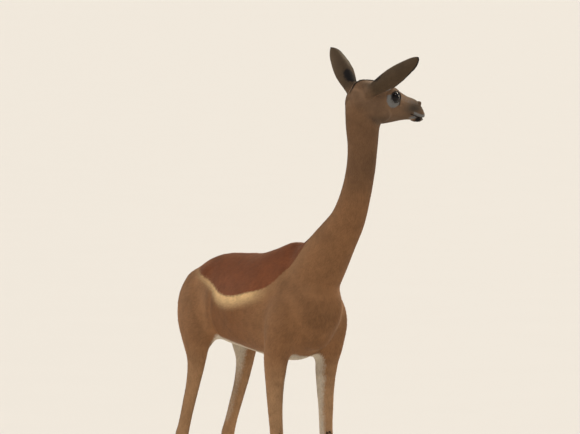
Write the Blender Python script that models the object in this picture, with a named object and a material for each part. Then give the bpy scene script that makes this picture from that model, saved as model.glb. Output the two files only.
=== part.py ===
"""A standing female gerenuk at life size, looking back over its left shoulder.

The body faces +X, its left side is +Y and it stands on Z = 0. The trunk, neck and
legs are lofts through a few rings, fused into one skin and then parted with thin
curved cuts. The head is made the same way on a finer grid.
"""

import math

import bmesh
import bpy
import numpy as np
from mathutils import Matrix, Vector
from mathutils.bvhtree import BVHTree

# Driving dimensions, in metres and degrees.
GAP = 0.0003
BODY_VOXEL = 0.006
HEAD_VOXEL = 0.0024
BODY_RELAX_ROUNDS = 420
HEAD_RELAX_ROUNDS = 9
STEP_IN = 0.5
STEP_OUT = -0.505
FREE_ABOVE_Z = 0.60
HELD_BELOW_Z = 0.30
HELD_SHARE = 0.15
TRUNK_RINGS, TRUNK_AROUND = 40, 32
NECK_RINGS, NECK_AROUND = 44, 28
LEG_RINGS, LEG_AROUND = 64, 20
SKULL_RINGS, SKULL_AROUND = 48, 32
NECK_NARROW_TOP = 0.10
BODY_TRIANGLES = 5200
HEAD_TRIANGLES = 3300
HEAD_YAW = 96.0
EYE_LEVEL_Z = 1.316
EYE_MIDDLE = Vector((0.484, 0.134, EYE_LEVEL_Z))
EYE_RADIUS = 0.0190
EYE_SIDE = 0.0325
EYE_FORWARD_TURN = 11.0
EYE_UPWARD_TURN = 6.0
LID_HALF_WIDTH = 63.0
LID_HALF_HEIGHT = 55.0
LID_TUBE = 0.0024
LID_LIFT = 0.0006
UPPER_LID_SHARE = 1.15
LOWER_LID_SHARE = 0.95
LID_AROUND, LID_ACROSS = 20, 6
GAZE_DROP = 0.30
MOUTH_GROOVE = 0.0016
NOSTRIL_PLACE = (0.1145, 0.0092, -0.0270)
NOSTRIL_HALVES = (0.0095, 0.0031, 0.0044)
NOSTRIL_OUT_TURN = 40.0
NOSTRIL_DOWN_TURN = -28.0
EAR_LENGTH = 0.176
EAR_WALL = 0.0032
EAR_ROOT = (-0.096, 0.037, 0.020)
EAR_STUMP = 0.030
EAR_BOW = 0.010
EAR_RINGS, EAR_STEPS = 13, 10
EAR_TIP_THIN = 0.45
EAR_EDGE_THIN = 0.55
STUMP_AROUND = 20
STUMP_CUT = 0.032
FORELEG_SIDE = 0.074
HINDLEG_SIDE = 0.078
STEP_FROM_Z = 0.66
STEP_OVER = 0.62
CORONET_Z = 0.034
CORONET_TILT = 20.0
HOOF_LENGTH = 0.060
HOOF_HALF_WIDTH = 0.0185
HOOF_FORWARD = 0.014
HOOF_HEIGHTS = (0.0, 0.004, 0.016, 0.030, 0.050)
TOE_SLOPE = 0.72
HEEL_SLOPE = 0.18
SOLE_INSET = 0.0015
HOOF_AROUND = 20
HOOF_TOE_NARROW = 0.30
CLEFT = 0.003
CLEFT_START = -0.008
CLEFT_END = 0.060
DEWCLAW_SIDE = 0.0075
DEWCLAW_RADIUS = 0.0062
DEWCLAW_DROP = 0.0125
TAIL_LOCKS = 12
TAIL_START = 0.16
TAIL_SOCKET_END = 0.60
TAIL_STEPS = 25
TAIL_ROOT_RADIUS = 0.0165
TAIL_END_RADIUS = 0.0050
TUFT_RISE = 0.075
TUFT_LOCK_LENGTH = 0.070
TUFT_LOCK_HALF_WIDTH = 0.0105
GOLDEN_TURN = 2.39996
LOCK_AROUND = 6
LOCK_FLATNESS = 0.42
KNEE_LOCKS = 4
KNEE_LOCK_SPACING = 0.0075
KNEE_LOCK_LENGTH = 0.042
MARGIN = 0.012
SHARP_ANGLE = 40.0
COAT_ROUGHNESS = 0.85
HOOF_ROUGHNESS = 0.45
EYE_ROUGHNESS = 0.08

# Ring tables. Trunk: x, top, bottom, half width, how much narrower the top is.
TRUNK = [
    (-0.402, 0.752, 0.692, 0.020, 0.0),
    (-0.384, 0.780, 0.655, 0.048, 0.0),
    (-0.345, 0.807, 0.622, 0.073, 0.05),
    (-0.285, 0.834, 0.606, 0.085, 0.12),
    (-0.200, 0.851, 0.594, 0.092, 0.16),
    (-0.090, 0.857, 0.584, 0.103, 0.16),
    (0.020, 0.863, 0.575, 0.113, 0.14),
    (0.120, 0.883, 0.566, 0.111, 0.16),
    (0.200, 0.903, 0.566, 0.099, 0.24),
    (0.265, 0.898, 0.582, 0.090, 0.22),
    (0.325, 0.858, 0.612, 0.076, 0.12),
    (0.373, 0.800, 0.655, 0.056, 0.0),
    (0.392, 0.765, 0.690, 0.034, 0.0),
]
# Neck: x, y, z, half depth, half width, yaw of its own middle plane.
NECK = [
    (0.195, 0.000, 0.755, 0.120, 0.072, 0),
    (0.270, 0.000, 0.790, 0.112, 0.068, 2),
    (0.344, 0.005, 0.850, 0.084, 0.058, 8),
    (0.404, 0.016, 0.915, 0.0635, 0.0485, 20),
    (0.448, 0.031, 0.975, 0.0500, 0.0420, 34),
    (0.472, 0.043, 1.045, 0.0430, 0.0375, 53),
    (0.486, 0.051, 1.115, 0.0412, 0.0365, 71),
    (0.491, 0.054, 1.180, 0.0432, 0.0375, 85),
    (0.488, 0.056, 1.238, 0.0515, 0.0395, 94),
    (0.484, 0.064, 1.292, 0.0590, 0.0390, 96),
    (0.482, 0.078, 1.328, 0.0440, 0.0340, 96),
]
# Legs: x, how far outside the hoof's line, z, half depth, half width.
FORELEG = [
    (0.258, -0.046, 0.790, 0.030, 0.012),
    (0.262, -0.014, 0.750, 0.066, 0.030),
    (0.262, 0.000, 0.690, 0.074, 0.040),
    (0.246, 0.005, 0.620, 0.058, 0.037),
    (0.230, 0.006, 0.565, 0.043, 0.031),
    (0.224, 0.005, 0.500, 0.0305, 0.0255),
    (0.225, 0.004, 0.430, 0.0235, 0.0210),
    (0.230, 0.001, 0.360, 0.0200, 0.0195),
    (0.233, 0.000, 0.325, 0.0218, 0.0210),
    (0.229, 0.000, 0.285, 0.0165, 0.0160),
    (0.225, 0.000, 0.220, 0.0134, 0.0124),
    (0.224, 0.000, 0.140, 0.0134, 0.0126),
    (0.225, 0.000, 0.098, 0.0182, 0.0168),
    (0.240, 0.000, 0.062, 0.0146, 0.0148),
    (0.255, 0.000, 0.030, 0.0200, 0.0180),
    (0.262, 0.000, 0.012, 0.0200, 0.0180),
]
HINDLEG = [
    (-0.270, -0.058, 0.790, 0.040, 0.012),
    (-0.276, -0.030, 0.765, 0.085, 0.032),
    (-0.279, -0.014, 0.715, 0.103, 0.040),
    (-0.272, -0.005, 0.652, 0.094, 0.039),
    (-0.264, 0.000, 0.592, 0.063, 0.032),
    (-0.264, 0.002, 0.535, 0.0370, 0.0240),
    (-0.284, 0.002, 0.472, 0.0262, 0.0190),
    (-0.317, 0.001, 0.405, 0.0236, 0.0168),
    (-0.346, 0.000, 0.345, 0.0222, 0.0164),
    (-0.366, 0.000, 0.300, 0.0262, 0.0182),
    (-0.360, 0.000, 0.255, 0.0190, 0.0156),
    (-0.351, 0.000, 0.190, 0.0150, 0.0128),
    (-0.344, 0.000, 0.130, 0.0148, 0.0130),
    (-0.340, 0.000, 0.098, 0.0190, 0.0170),
    (-0.322, 0.000, 0.062, 0.0148, 0.0148),
    (-0.306, 0.000, 0.030, 0.0200, 0.0180),
    (-0.299, 0.000, 0.012, 0.0200, 0.0180),
]
# Head, forward of the eyes: along, top, bottom, half width, how much narrower the top is.
SKULL = [
    (-0.129, 0.004, -0.040, 0.018, 0.0),
    (-0.112, 0.030, -0.058, 0.032, 0.0),
    (-0.072, 0.0495, -0.070, 0.0380, -0.06),
    (-0.022, 0.0430, -0.0745, 0.0370, -0.16),
    (0.014, 0.0292, -0.0705, 0.0345, -0.14),
    (0.044, 0.0148, -0.0660, 0.0280, 0.02),
    (0.068, 0.0024, -0.0640, 0.0232, 0.12),
    (0.090, -0.0046, -0.0655, 0.0205, 0.16),
    (0.104, -0.0122, -0.0685, 0.0188, 0.12),
    (0.115, -0.0240, -0.0685, 0.0158, 0.05),
    (0.1225, -0.0400, -0.0630, 0.0105, 0.0),
]
# An ear's half width at parts of its length.
EAR_PARTS = (0.0, 0.12, 0.28, 0.45, 0.60, 0.75, 0.88, 0.96, 1.0)
EAR_HALVES = (0.0180, 0.0195, 0.0245, 0.0285, 0.0278, 0.0240, 0.0178, 0.0118, 0.0052)
# How far each side of an ear folds round from the middle of its back, in degrees.
EAR_FOLD_PARTS = (0.17, 0.28, 0.45, 0.80, 1.0)
EAR_FOLDS = (168.0, 124.0, 97.0, 76.0, 62.0)
# Rounded masses on the body: x, side, z, half sizes along x, y and z, nose-down pitch.
BODY_MASSES = [
    (0.296, 0.000, 0.688, 0.074, 0.060, 0.090, -30),
    (0.218, 0.046, 0.742, 0.092, 0.030, 0.122, -22),
    (0.205, 0.066, 0.640, 0.080, 0.026, 0.056, 35),
    (-0.215, 0.050, 0.730, 0.095, 0.036, 0.085, 38),
    (-0.322, 0.044, 0.700, 0.060, 0.036, 0.098, -14),
    (-0.212, 0.068, 0.628, 0.038, 0.026, 0.058, 24),
    (-0.290, 0.022, 0.774, 0.092, 0.046, 0.040, -20),
    (-0.330, 0.036, 0.752, 0.062, 0.036, 0.046, -38),
]
# Rounded masses on the head: along, side, up, half sizes, nose-down pitch.
HEAD_MASSES = [
    (-0.038, 0.020, -0.034, 0.043, 0.0175, 0.036, 12),
    (-0.070, 0.000, 0.016, 0.046, 0.0370, 0.034, 12),
    (-0.001, 0.0270, 0.003, 0.0310, 0.0190, 0.0275, 14),
    (-0.048, 0.0300, -0.002, 0.034, 0.0100, 0.0120, 4),
    (0.106, 0.0060, -0.0225, 0.0105, 0.0095, 0.0105, 24),
    (0.107, 0.0090, -0.0470, 0.0172, 0.0105, 0.0105, 18),
    (0.102, 0.0050, -0.0630, 0.0165, 0.0095, 0.0080, 2),
]
# The line of one side of the mouth, from its corner to the middle: along, side, up.
MOUTH_LINE = [
    (0.066, 0.024, -0.0470),
    (0.078, 0.022, -0.0500),
    (0.090, 0.019, -0.0540),
    (0.101, 0.017, -0.0575),
    (0.112, 0.014, -0.0595),
    (0.119, 0.009, -0.0600),
    (0.124, 0.003, -0.0600),
]
EAR_AIM = {"left": (0.120, 0.735, 0.668), "right": (0.590, -0.602, 0.531)}
EAR_OPENING = {"left": (1.0, 0.35, -0.5), "right": (1.0, 0.0, 0.0)}
# The tall eggs that part the legs from the trunk: middle and half sizes.
LEG_CUTS = {
    "fore": ((0.248, 0.140, 0.300), (0.140, 0.108, 0.500)),
    "hind": ((-0.295, 0.150, 0.300), (0.178, 0.124, 0.520)),
}
# How far forward each foot stands of its own leg's line.
STANCE = {
    "fore_left": 0.022,
    "fore_right": -0.008,
    "hind_left": -0.012,
    "hind_right": 0.004,
}
SIDES = {"left": 1, "right": -1}

COLOURS = {
    "coat_tan": (0.33, 0.17, 0.085),
    "coat_saddle": (0.23, 0.085, 0.045),
    "coat_dark": (0.035, 0.022, 0.016),
    "eye": (0.012, 0.007, 0.005),
    "hoof": (0.045, 0.038, 0.033),
}


def clear_scene():
    for obj in list(bpy.data.objects):
        bpy.data.objects.remove(obj, do_unlink=True)


def finish_of(slot, roughness):
    """The plain material of one slot."""
    found = bpy.data.materials.get(slot)
    if found:
        return found
    made = bpy.data.materials.new(slot)
    made.use_nodes = True
    shader = made.node_tree.nodes["Principled BSDF"]
    shader.inputs["Base Color"].default_value = (*COLOURS[slot], 1.0)
    shader.inputs["Roughness"].default_value = roughness
    shader.inputs["Metallic"].default_value = 0.0
    return made


def new_object(name, mesh):
    obj = bpy.data.objects.new(name, mesh)
    bpy.context.scene.collection.objects.link(obj)
    return obj


def from_bmesh(name, shape):
    bmesh.ops.recalc_face_normals(shape, faces=shape.faces)
    mesh = bpy.data.meshes.new(name)
    shape.to_mesh(mesh)
    shape.free()
    return new_object(name, mesh)


def between(rows, count):
    """Rows read along a smooth curve through them, as count evenly spaced rows."""
    table = np.array(rows, float)
    padded = np.vstack([2 * table[0] - table[1], table, 2 * table[-1] - table[-2]])
    out = []
    for at in np.linspace(0, len(table) - 1 - 1e-9, count):
        i, t = int(at), at - int(at)
        a, b, c, d = padded[i : i + 4]
        curve = (c - a) * t + (2 * a - 5 * b + 4 * c - d) * t**2
        curve = curve + (3 * b - a - 3 * c + d) * t**3
        out.append(b + curve / 2)
    return np.array(out)


def ring(centre, side_axis, up_axis, half_side, half_up, narrow_top, sides):
    """One egg-shaped ring of points round centre."""
    points = []
    for k in range(sides):
        turn = 2 * math.pi * k / sides
        rise = math.sin(turn)
        width = half_side * math.cos(turn) * (1 - narrow_top * rise)
        points.append(centre + side_axis * width + up_axis * (half_up * rise))
    return points


def loft(name, rings):
    """A closed tube through rings of equal count."""
    shape = bmesh.new()
    loops = [[shape.verts.new(p) for p in one] for one in rings]
    for low, high in zip(loops, loops[1:]):
        for k in range(len(low)):
            n = (k + 1) % len(low)
            shape.faces.new((low[k], low[n], high[n], high[k]))
    shape.faces.new(reversed(loops[0]))
    shape.faces.new(loops[-1])
    return from_bmesh(name, shape)


def tangents(centres):
    """Unit directions along a path of points."""
    steps = [centres[1] - centres[0]]
    steps += [b - a for a, b in zip(centres, centres[2:])]
    steps.append(centres[-1] - centres[-2])
    return [s.normalized() for s in steps]


def square_to(axis, along):
    """The part of axis that is square to along, at unit length."""
    return (axis - along * axis.dot(along)).normalized()


def ellipsoid(name, centre, half_sizes, turn=None, fine=3):
    shape = bmesh.new()
    bmesh.ops.create_icosphere(shape, subdivisions=fine, radius=1.0)
    matrix = Matrix.Translation(centre)
    if turn is not None:
        matrix = matrix @ turn
    matrix = matrix @ Matrix.Diagonal((*half_sizes, 1.0))
    bmesh.ops.transform(shape, matrix=matrix, verts=shape.verts)
    return from_bmesh(name, shape)


def trunk_loft():
    rings = []
    for x, top, bottom, half, narrow in between(TRUNK, TRUNK_RINGS):
        centre = Vector((x, 0, (top + bottom) / 2))
        height = (top - bottom) / 2
        across, up = Vector((0, 1, 0)), Vector((0, 0, 1))
        rings.append(ring(centre, across, up, half, height, narrow, TRUNK_AROUND))
    return loft("trunk", rings)


def neck_loft():
    rows = between(NECK, NECK_RINGS)
    centres = [Vector(row[:3]) for row in rows]
    rings = []
    for row, centre, along in zip(rows, centres, tangents(centres)):
        yaw = math.radians(row[5])
        nape = square_to(-Vector((math.cos(yaw), math.sin(yaw), 0)), along)
        across = along.cross(nape)
        rings.append(ring(centre, across, nape, row[4], row[3], NECK_NARROW_TOP, NECK_AROUND))
    return loft("neck", rings)


def leg_place(kind, side, row):
    """The centre of one leg ring, with the stance worked in towards the ground."""
    x, outward, z = row[:3]
    line = FORELEG_SIDE if kind == "fore" else HINDLEG_SIDE
    reach = min(1.0, max(0.0, (STEP_FROM_Z - z) / STEP_OVER))
    step = STANCE[kind + "_" + side] * reach
    return Vector((x + step, SIDES[side] * (line + outward), z))


def leg_loft(kind, side):
    rows = between(FORELEG if kind == "fore" else HINDLEG, LEG_RINGS)
    centres = [leg_place(kind, side, row) for row in rows]
    rings = []
    for row, centre, along in zip(rows, centres, tangents(centres)):
        fore = square_to(Vector((1, 0, 0)), along)
        rings.append(ring(centre, along.cross(fore), fore, row[4], row[3], 0.0, LEG_AROUND))
    return loft("leg", rings)


def masses(table, place):
    """Both sides of each rounded mass, placed by place(side, row)."""
    made = []
    for row in table:
        for sign in (1, -1) if row[1] else (1,):
            matrix = place(Vector((row[0], sign * row[1], row[2])))
            turn = matrix.to_3x3().to_4x4() @ Matrix.Rotation(math.radians(row[6]), 4, "Y")
            made.append(ellipsoid("mass", matrix.to_translation(), row[3:6], turn))
    return made


def head_matrix(local=(0, 0, 0)):
    """Head axes (forward, left, up) to the world, at a point given in them."""
    turn = Matrix.Rotation(math.radians(HEAD_YAW), 4, "Z")
    return Matrix.Translation(EYE_MIDDLE) @ turn @ Matrix.Translation(Vector(local))


def skull_loft():
    rings = []
    for along, top, bottom, half, narrow in between(SKULL, SKULL_RINGS):
        centre = Vector((along, 0, (top + bottom) / 2))
        height = (top - bottom) / 2
        across, up = Vector((0, 1, 0)), Vector((0, 0, 1))
        one = ring(centre, across, up, half, height, narrow, SKULL_AROUND)
        rings.append([head_matrix() @ p for p in one])
    return loft("skull", rings)


def baked(obj):
    """The object with its modifiers made into its mesh."""
    graph = bpy.context.evaluated_depsgraph_get()
    mesh = bpy.data.meshes.new_from_object(obj.evaluated_get(graph))
    obj.modifiers.clear()
    obj.data = mesh
    return obj


def joined(name, objects):
    """Objects as loose shells in one mesh."""
    shape = bmesh.new()
    for obj in objects:
        shape.from_mesh(obj.data)
        bpy.data.objects.remove(obj, do_unlink=True)
    mesh = bpy.data.meshes.new(name)
    shape.to_mesh(mesh)
    shape.free()
    return new_object(name, mesh)


def relaxed(obj, rounds, weight_of=None):
    """Evens the surface without shrinking it, by one step in and one step out."""
    mesh = obj.data
    points = np.empty(len(mesh.vertices) * 3)
    mesh.vertices.foreach_get("co", points)
    points = points.reshape(-1, 3)
    edges = np.empty(len(mesh.edges) * 2, int)
    mesh.edges.foreach_get("vertices", edges)
    a, b = edges.reshape(-1, 2).T
    count = np.bincount(np.concatenate([a, b]), minlength=len(points))[:, None]
    weight = 1.0 if weight_of is None else weight_of(points)[:, None]
    for step in (STEP_IN, STEP_OUT) * rounds:
        total = np.stack(
            [
                np.bincount(a, points[b, k], len(points)) + np.bincount(b, points[a, k], len(points))
                for k in range(3)
            ],
            axis=1,
        )
        points = points + step * weight * (total / count - points)
    mesh.vertices.foreach_set("co", points.ravel())
    mesh.update()
    return obj


def remeshed(obj, voxel):
    modifier = obj.modifiers.new("fuse", "REMESH")
    modifier.mode = "VOXEL"
    modifier.voxel_size = voxel
    modifier.adaptivity = 0.0
    return baked(obj)


def thinned(obj, triangles):
    mesh = obj.data
    mesh.calc_loop_triangles()
    modifier = obj.modifiers.new("thin", "DECIMATE")
    modifier.ratio = triangles / len(mesh.loop_triangles)
    modifier.use_collapse_triangulate = True
    return baked(obj)


def combined(obj, cutter, operation, keep_cutter=False, solver="EXACT"):
    modifier = obj.modifiers.new("cut", "BOOLEAN")
    modifier.operation = operation
    modifier.solver = solver
    modifier.object = cutter
    baked(obj)
    if not keep_cutter:
        bpy.data.objects.remove(cutter, do_unlink=True)
    return obj


def united(name, objects, solver="EXACT"):
    """One Boolean union of closed meshes."""
    first, rest = objects[0], objects[1:]
    group = bpy.data.collections.new("pieces")
    for obj in rest:
        group.objects.link(obj)
    modifier = first.modifiers.new("fuse", "BOOLEAN")
    modifier.operation = "UNION"
    modifier.operand_type = "COLLECTION"
    modifier.collection = group
    modifier.solver = solver
    baked(first)
    for obj in rest:
        bpy.data.objects.remove(obj, do_unlink=True)
    bpy.data.collections.remove(group)
    first.name = name
    return first


def largest_shell(obj):
    """Keeps only the largest closed surface of a mesh."""
    shape = bmesh.new()
    shape.from_mesh(obj.data)
    bmesh.ops.remove_doubles(shape, verts=shape.verts, dist=1e-6)
    left, shells = set(shape.verts), []
    while left:
        grown, edge = set(), [left.pop()]
        while edge:
            vert = edge.pop()
            grown.add(vert)
            for link in vert.link_edges:
                other = link.other_vert(vert)
                if other in left:
                    left.discard(other)
                    edge.append(other)
        shells.append(grown)
    keep = max(shells, key=len)
    drop = [v for shell in shells if shell is not keep for v in shell]
    bmesh.ops.delete(shape, geom=drop, context="VERTS")
    bmesh.ops.triangulate(shape, faces=shape.faces)
    shape.to_mesh(obj.data)
    shape.free()
    return obj


def copy_of(obj, name):
    return new_object(name, obj.data.copy())


def block(centre, half_sizes, along):
    """A box with its Z axis along a direction, used as a cutter."""
    shape = bmesh.new()
    bmesh.ops.create_cube(shape, size=2.0)
    turn = along.to_track_quat("Z", "Y").to_matrix().to_4x4()
    matrix = Matrix.Translation(centre) @ turn @ Matrix.Diagonal((*half_sizes, 1.0))
    bmesh.ops.transform(shape, matrix=matrix, verts=shape.verts)
    return from_bmesh("cutter", shape)


def half_space(point, normal, reach, back=0.0):
    """A box that holds what lies beyond a plane, set off from it by back."""
    normal = normal.normalized()
    return block(point + normal * (reach - back), (reach, reach, reach), normal)


def leg_cutter(kind, side, grow=0.0):
    """The tall egg that parts one leg from the trunk."""
    (x, y, z), sizes = LEG_CUTS[kind]
    return ellipsoid("cutter", (x, SIDES[side] * y, z), [s + grow for s in sizes], None, 4)


NECK_BASE = (Vector((0.335, 0.0, 0.830)), Vector((0.72, 0.0, 0.69)).normalized())
HEAD_BASE = (Vector((0.492, 0.064, 1.256)), Vector((-0.05, 0.50, 0.866)).normalized())
TAIL_PATH = [(-0.350, 0.782), (-0.380, 0.776), (-0.404, 0.762), (-0.425, 0.735)]
TAIL_PATH += [(-0.436, 0.690), (-0.438, 0.620), (-0.436, 0.560), (-0.434, 0.520)]


def tail_radius(part):
    return TAIL_ROOT_RADIUS + (TAIL_END_RADIUS - TAIL_ROOT_RADIUS) * min(1.0, part * 1.25)


def tail_tube(name, first, last, grow=0.0):
    """A length of the tail, between two parts of its path, or its slightly larger socket."""
    rows = between([(x, 0.0, z) for x, z in TAIL_PATH], TAIL_STEPS + 1)
    chosen = range(round(first * TAIL_STEPS), round(last * TAIL_STEPS) + 1)
    centres = [Vector(rows[k]) for k in chosen]
    rings = []
    for k, centre, along in zip(chosen, centres, tangents(centres)):
        back = Vector((0, 1, 0)).cross(along)
        radius = tail_radius(k / TAIL_STEPS) + grow
        if k == chosen[0]:
            centre = centre - along * grow
        rings.append(ring(centre, Vector((0, 1, 0)), back, radius, radius, 0.0, 8))
    return loft(name, rings)


def body_weight(points):
    """How freely the surface may relax: less on the slender lower legs."""
    rise = (points[:, 2] - HELD_BELOW_Z) / (FREE_ABOVE_Z - HELD_BELOW_Z)
    return np.clip(rise, HELD_SHARE, 1.0)


def fused_body():
    """Trunk, neck and legs as one skin, which ends just above the head's cut."""
    pieces = [trunk_loft(), neck_loft(), skull_loft()]
    for side in SIDES:
        pieces += [leg_loft("fore", side), leg_loft("hind", side)]
    pieces += masses(BODY_MASSES, Matrix.Translation)
    pieces += masses(HEAD_MASSES, head_matrix)
    body = remeshed(joined("body", pieces), BODY_VOXEL)
    relaxed(body, BODY_RELAX_ROUNDS, body_weight)
    point, normal = HEAD_BASE
    combined(body, half_space(point + normal * MARGIN, normal, 0.5), "DIFFERENCE")
    return largest_shell(thinned(body, BODY_TRIANGLES))


def eye_axes(side):
    """Centre of an eyeball and its outward, forward and upward directions."""
    sign = SIDES[side]
    centre = head_matrix((0.0, sign * EYE_SIDE, 0.0)).to_translation()
    turn = math.radians(EYE_FORWARD_TURN)
    lift = math.radians(EYE_UPWARD_TURN)
    out = Vector((math.sin(turn), sign * math.cos(turn) * math.cos(lift), math.sin(lift)))
    axes = head_matrix().to_3x3()
    out = (axes @ out).normalized()
    fore = square_to(axes @ Vector((1, 0, -GAZE_DROP)), out)
    up = square_to(axes @ Vector((0, 0, 1)), out)
    fore = square_to(fore, up)
    return centre, out, fore, up


def lid_ring(side):
    """The rim of both lids, a bent tube that lies on the eyeball."""
    centre, out, fore, up = eye_axes(side)
    shape = bmesh.new()
    loops = []
    for k in range(LID_AROUND):
        turn = 2 * math.pi * k / LID_AROUND
        wide = math.radians(LID_HALF_WIDTH) * math.cos(turn)
        high = math.radians(LID_HALF_HEIGHT) * math.sin(turn)
        tilt = math.hypot(wide, high)
        side_way = (fore * wide + up * high).normalized()
        ray = out * math.cos(tilt) + side_way * math.sin(tilt)
        middle = centre + ray * (EYE_RADIUS + LID_LIFT)
        inward = square_to(-side_way, ray)
        tube = LID_TUBE * (UPPER_LID_SHARE if math.sin(turn) > 0 else LOWER_LID_SHARE)
        rim = ring(middle, inward, ray, tube, tube, 0.0, LID_ACROSS)
        loops.append([shape.verts.new(p) for p in rim])
    for k in range(LID_AROUND):
        low, high = loops[k], loops[(k + 1) % LID_AROUND]
        for j in range(LID_ACROSS):
            n = (j + 1) % LID_ACROSS
            shape.faces.new((low[j], low[n], high[n], high[j]))
    return from_bmesh("lids", shape)


def surface_of(obj):
    """A tree that finds the nearest point of an object's surface."""
    mesh = obj.data
    corners = [v.co for v in mesh.vertices]
    return BVHTree.FromPolygons(corners, [p.vertices[:] for p in mesh.polygons])


def tube_along(name, points, radius, count, taper=1.0, sides=6):
    """A closed round tube through points, its radius changing to taper at the far end."""
    path = between([tuple(p) for p in points], count)
    centres = [Vector(p) for p in path]
    rings, up = [], Vector((0.13, 0.21, 0.97))
    for k, (centre, along) in enumerate(zip(centres, tangents(centres))):
        part = k / (len(centres) - 1)
        size = radius * (1 + (taper - 1) * part)
        side_axis = along.cross(up).normalized()
        rings.append(ring(centre, side_axis, side_axis.cross(along), size, size, 0.0, sides))
    return loft(name, rings)


def mouth_groove(head):
    """The line of the mouth, cut where a tube meets the surface."""
    path = MOUTH_LINE + [(f, -s, u) for f, s, u in reversed(MOUTH_LINE)]
    tree = surface_of(head)
    points = [tree.find_nearest(head_matrix(p).to_translation())[0] for p in path]
    return tube_along("cutter", points, MOUTH_GROOVE, 25)


def nostril(side):
    sign = SIDES[side]
    along, out, up = NOSTRIL_PLACE
    matrix = head_matrix((along, sign * out, up))
    turn = matrix.to_3x3().to_4x4()
    turn = turn @ Matrix.Rotation(math.radians(sign * NOSTRIL_OUT_TURN), 4, "Z")
    turn = turn @ Matrix.Rotation(math.radians(NOSTRIL_DOWN_TURN), 4, "Y")
    return ellipsoid("cutter", matrix.to_translation(), NOSTRIL_HALVES, turn, 2)


def ear_axes(side):
    """Root of an ear with its length, opening and width directions."""
    turn = head_matrix().to_3x3()
    aim = (turn @ Vector(EAR_AIM[side])).normalized()
    opening = square_to(turn @ Vector(EAR_OPENING[side]), aim)
    along, out, up = EAR_ROOT
    root = head_matrix((along, SIDES[side] * out, up)).to_translation()
    return root, aim, opening, aim.cross(opening)


def ear_size(part):
    """Half width and half opening angle of the ear at a part of its length."""
    half = float(np.interp(part, EAR_PARTS, EAR_HALVES))
    return half, math.radians(float(np.interp(part, EAR_FOLD_PARTS, EAR_FOLDS)))


def ear_centre(side, part):
    """The line of the ear's back, bowed a little away from the opening."""
    root, aim, opening, _ = ear_axes(side)
    return root + aim * (EAR_LENGTH * part) - opening * (EAR_BOW * math.sin(math.pi * part))


def ear_ring(side, part, steps):
    """One open-ended crescent: the outer arc, then the inner arc back again."""
    _, _, opening, width = ear_axes(side)
    half, angle = ear_size(part)
    radius = half / math.sin(min(angle, math.pi / 2))
    wall = min(EAR_WALL * (1 - EAR_TIP_THIN * part), radius / 2)
    centre = ear_centre(side, part)
    outer, inner = [], []
    for k in range(steps + 1):
        turn = angle * (2 * k / steps - 1)
        edge = 1 - EAR_EDGE_THIN * abs(2 * k / steps - 1) ** 3
        across, deep = width * math.sin(turn), opening * math.cos(turn)
        outer.append(centre + across * radius + opening * radius - deep * radius)
        small = radius - wall * edge
        inner.append(centre + across * small + opening * radius - deep * small)
    return outer + list(reversed(inner))


def ear_shell(side):
    """The cup of an ear above its stump, as thick as the real one."""
    start = EAR_STUMP / EAR_LENGTH
    parts = [start + (1 - start) * k / EAR_RINGS for k in range(EAR_RINGS + 1)]
    return loft("ear_" + side, [ear_ring(side, part, EAR_STEPS) for part in parts])


def ear_stump(side):
    """The solid root of an ear, which the head carries."""
    _, _, opening, width = ear_axes(side)
    rings = []
    for part in (-0.10, 0.0, 0.06, 0.12, EAR_STUMP / EAR_LENGTH):
        half, _ = ear_size(max(part, 0.05))
        centre = ear_centre(side, part) + opening * half
        rings.append(ring(centre, width, opening, half, half, 0.0, STUMP_AROUND))
    return loft("stump", rings)


def fused_head():
    """The head with its lids, mouth, nostrils, ear roots and two open sockets."""
    pieces = [skull_loft(), neck_loft()]
    pieces += masses(HEAD_MASSES, head_matrix)
    pieces += [ear_stump(side) for side in SIDES]
    head = remeshed(joined("head", pieces), HEAD_VOXEL)
    relaxed(head, HEAD_RELAX_ROUNDS)
    point, normal = HEAD_BASE
    combined(head, half_space(point, normal, 0.5, MARGIN), "INTERSECT")
    thinned(largest_shell(head), HEAD_TRIANGLES)
    groove = mouth_groove(head)
    united("head", [head, lid_ring("left"), lid_ring("right")])
    for cutter in [groove, nostril("left"), nostril("right")]:
        combined(head, cutter, "DIFFERENCE")
    for side in SIDES:
        combined(head, eyeball("cutter", side, GAP), "DIFFERENCE")
        root, aim, _, _ = ear_axes(side)
        middle = root + aim * (EAR_STUMP - GAP + MARGIN)
        combined(head, block(middle, (STUMP_CUT, STUMP_CUT, MARGIN), aim), "DIFFERENCE")
    combined(head, half_space(point, normal, 0.5), "INTERSECT")
    return largest_shell(head)


def eyeball(name, side, grow=0.0):
    """A round eye, or its slightly larger socket."""
    centre, out, fore, up = eye_axes(side)
    turn = Matrix((fore, up, out)).transposed().to_4x4()
    return ellipsoid(name, centre, [EYE_RADIUS + grow] * 3, turn, 3)


def coronet(kind, side):
    """The tilted plane where a hoof meets its leg, higher in front."""
    rows = FORELEG if kind == "fore" else HINDLEG
    point = leg_place(kind, side, rows[-2])
    point.z = CORONET_Z
    tilt = math.radians(CORONET_TILT)
    return point, Vector((-math.sin(tilt), 0, math.cos(tilt)))


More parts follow.
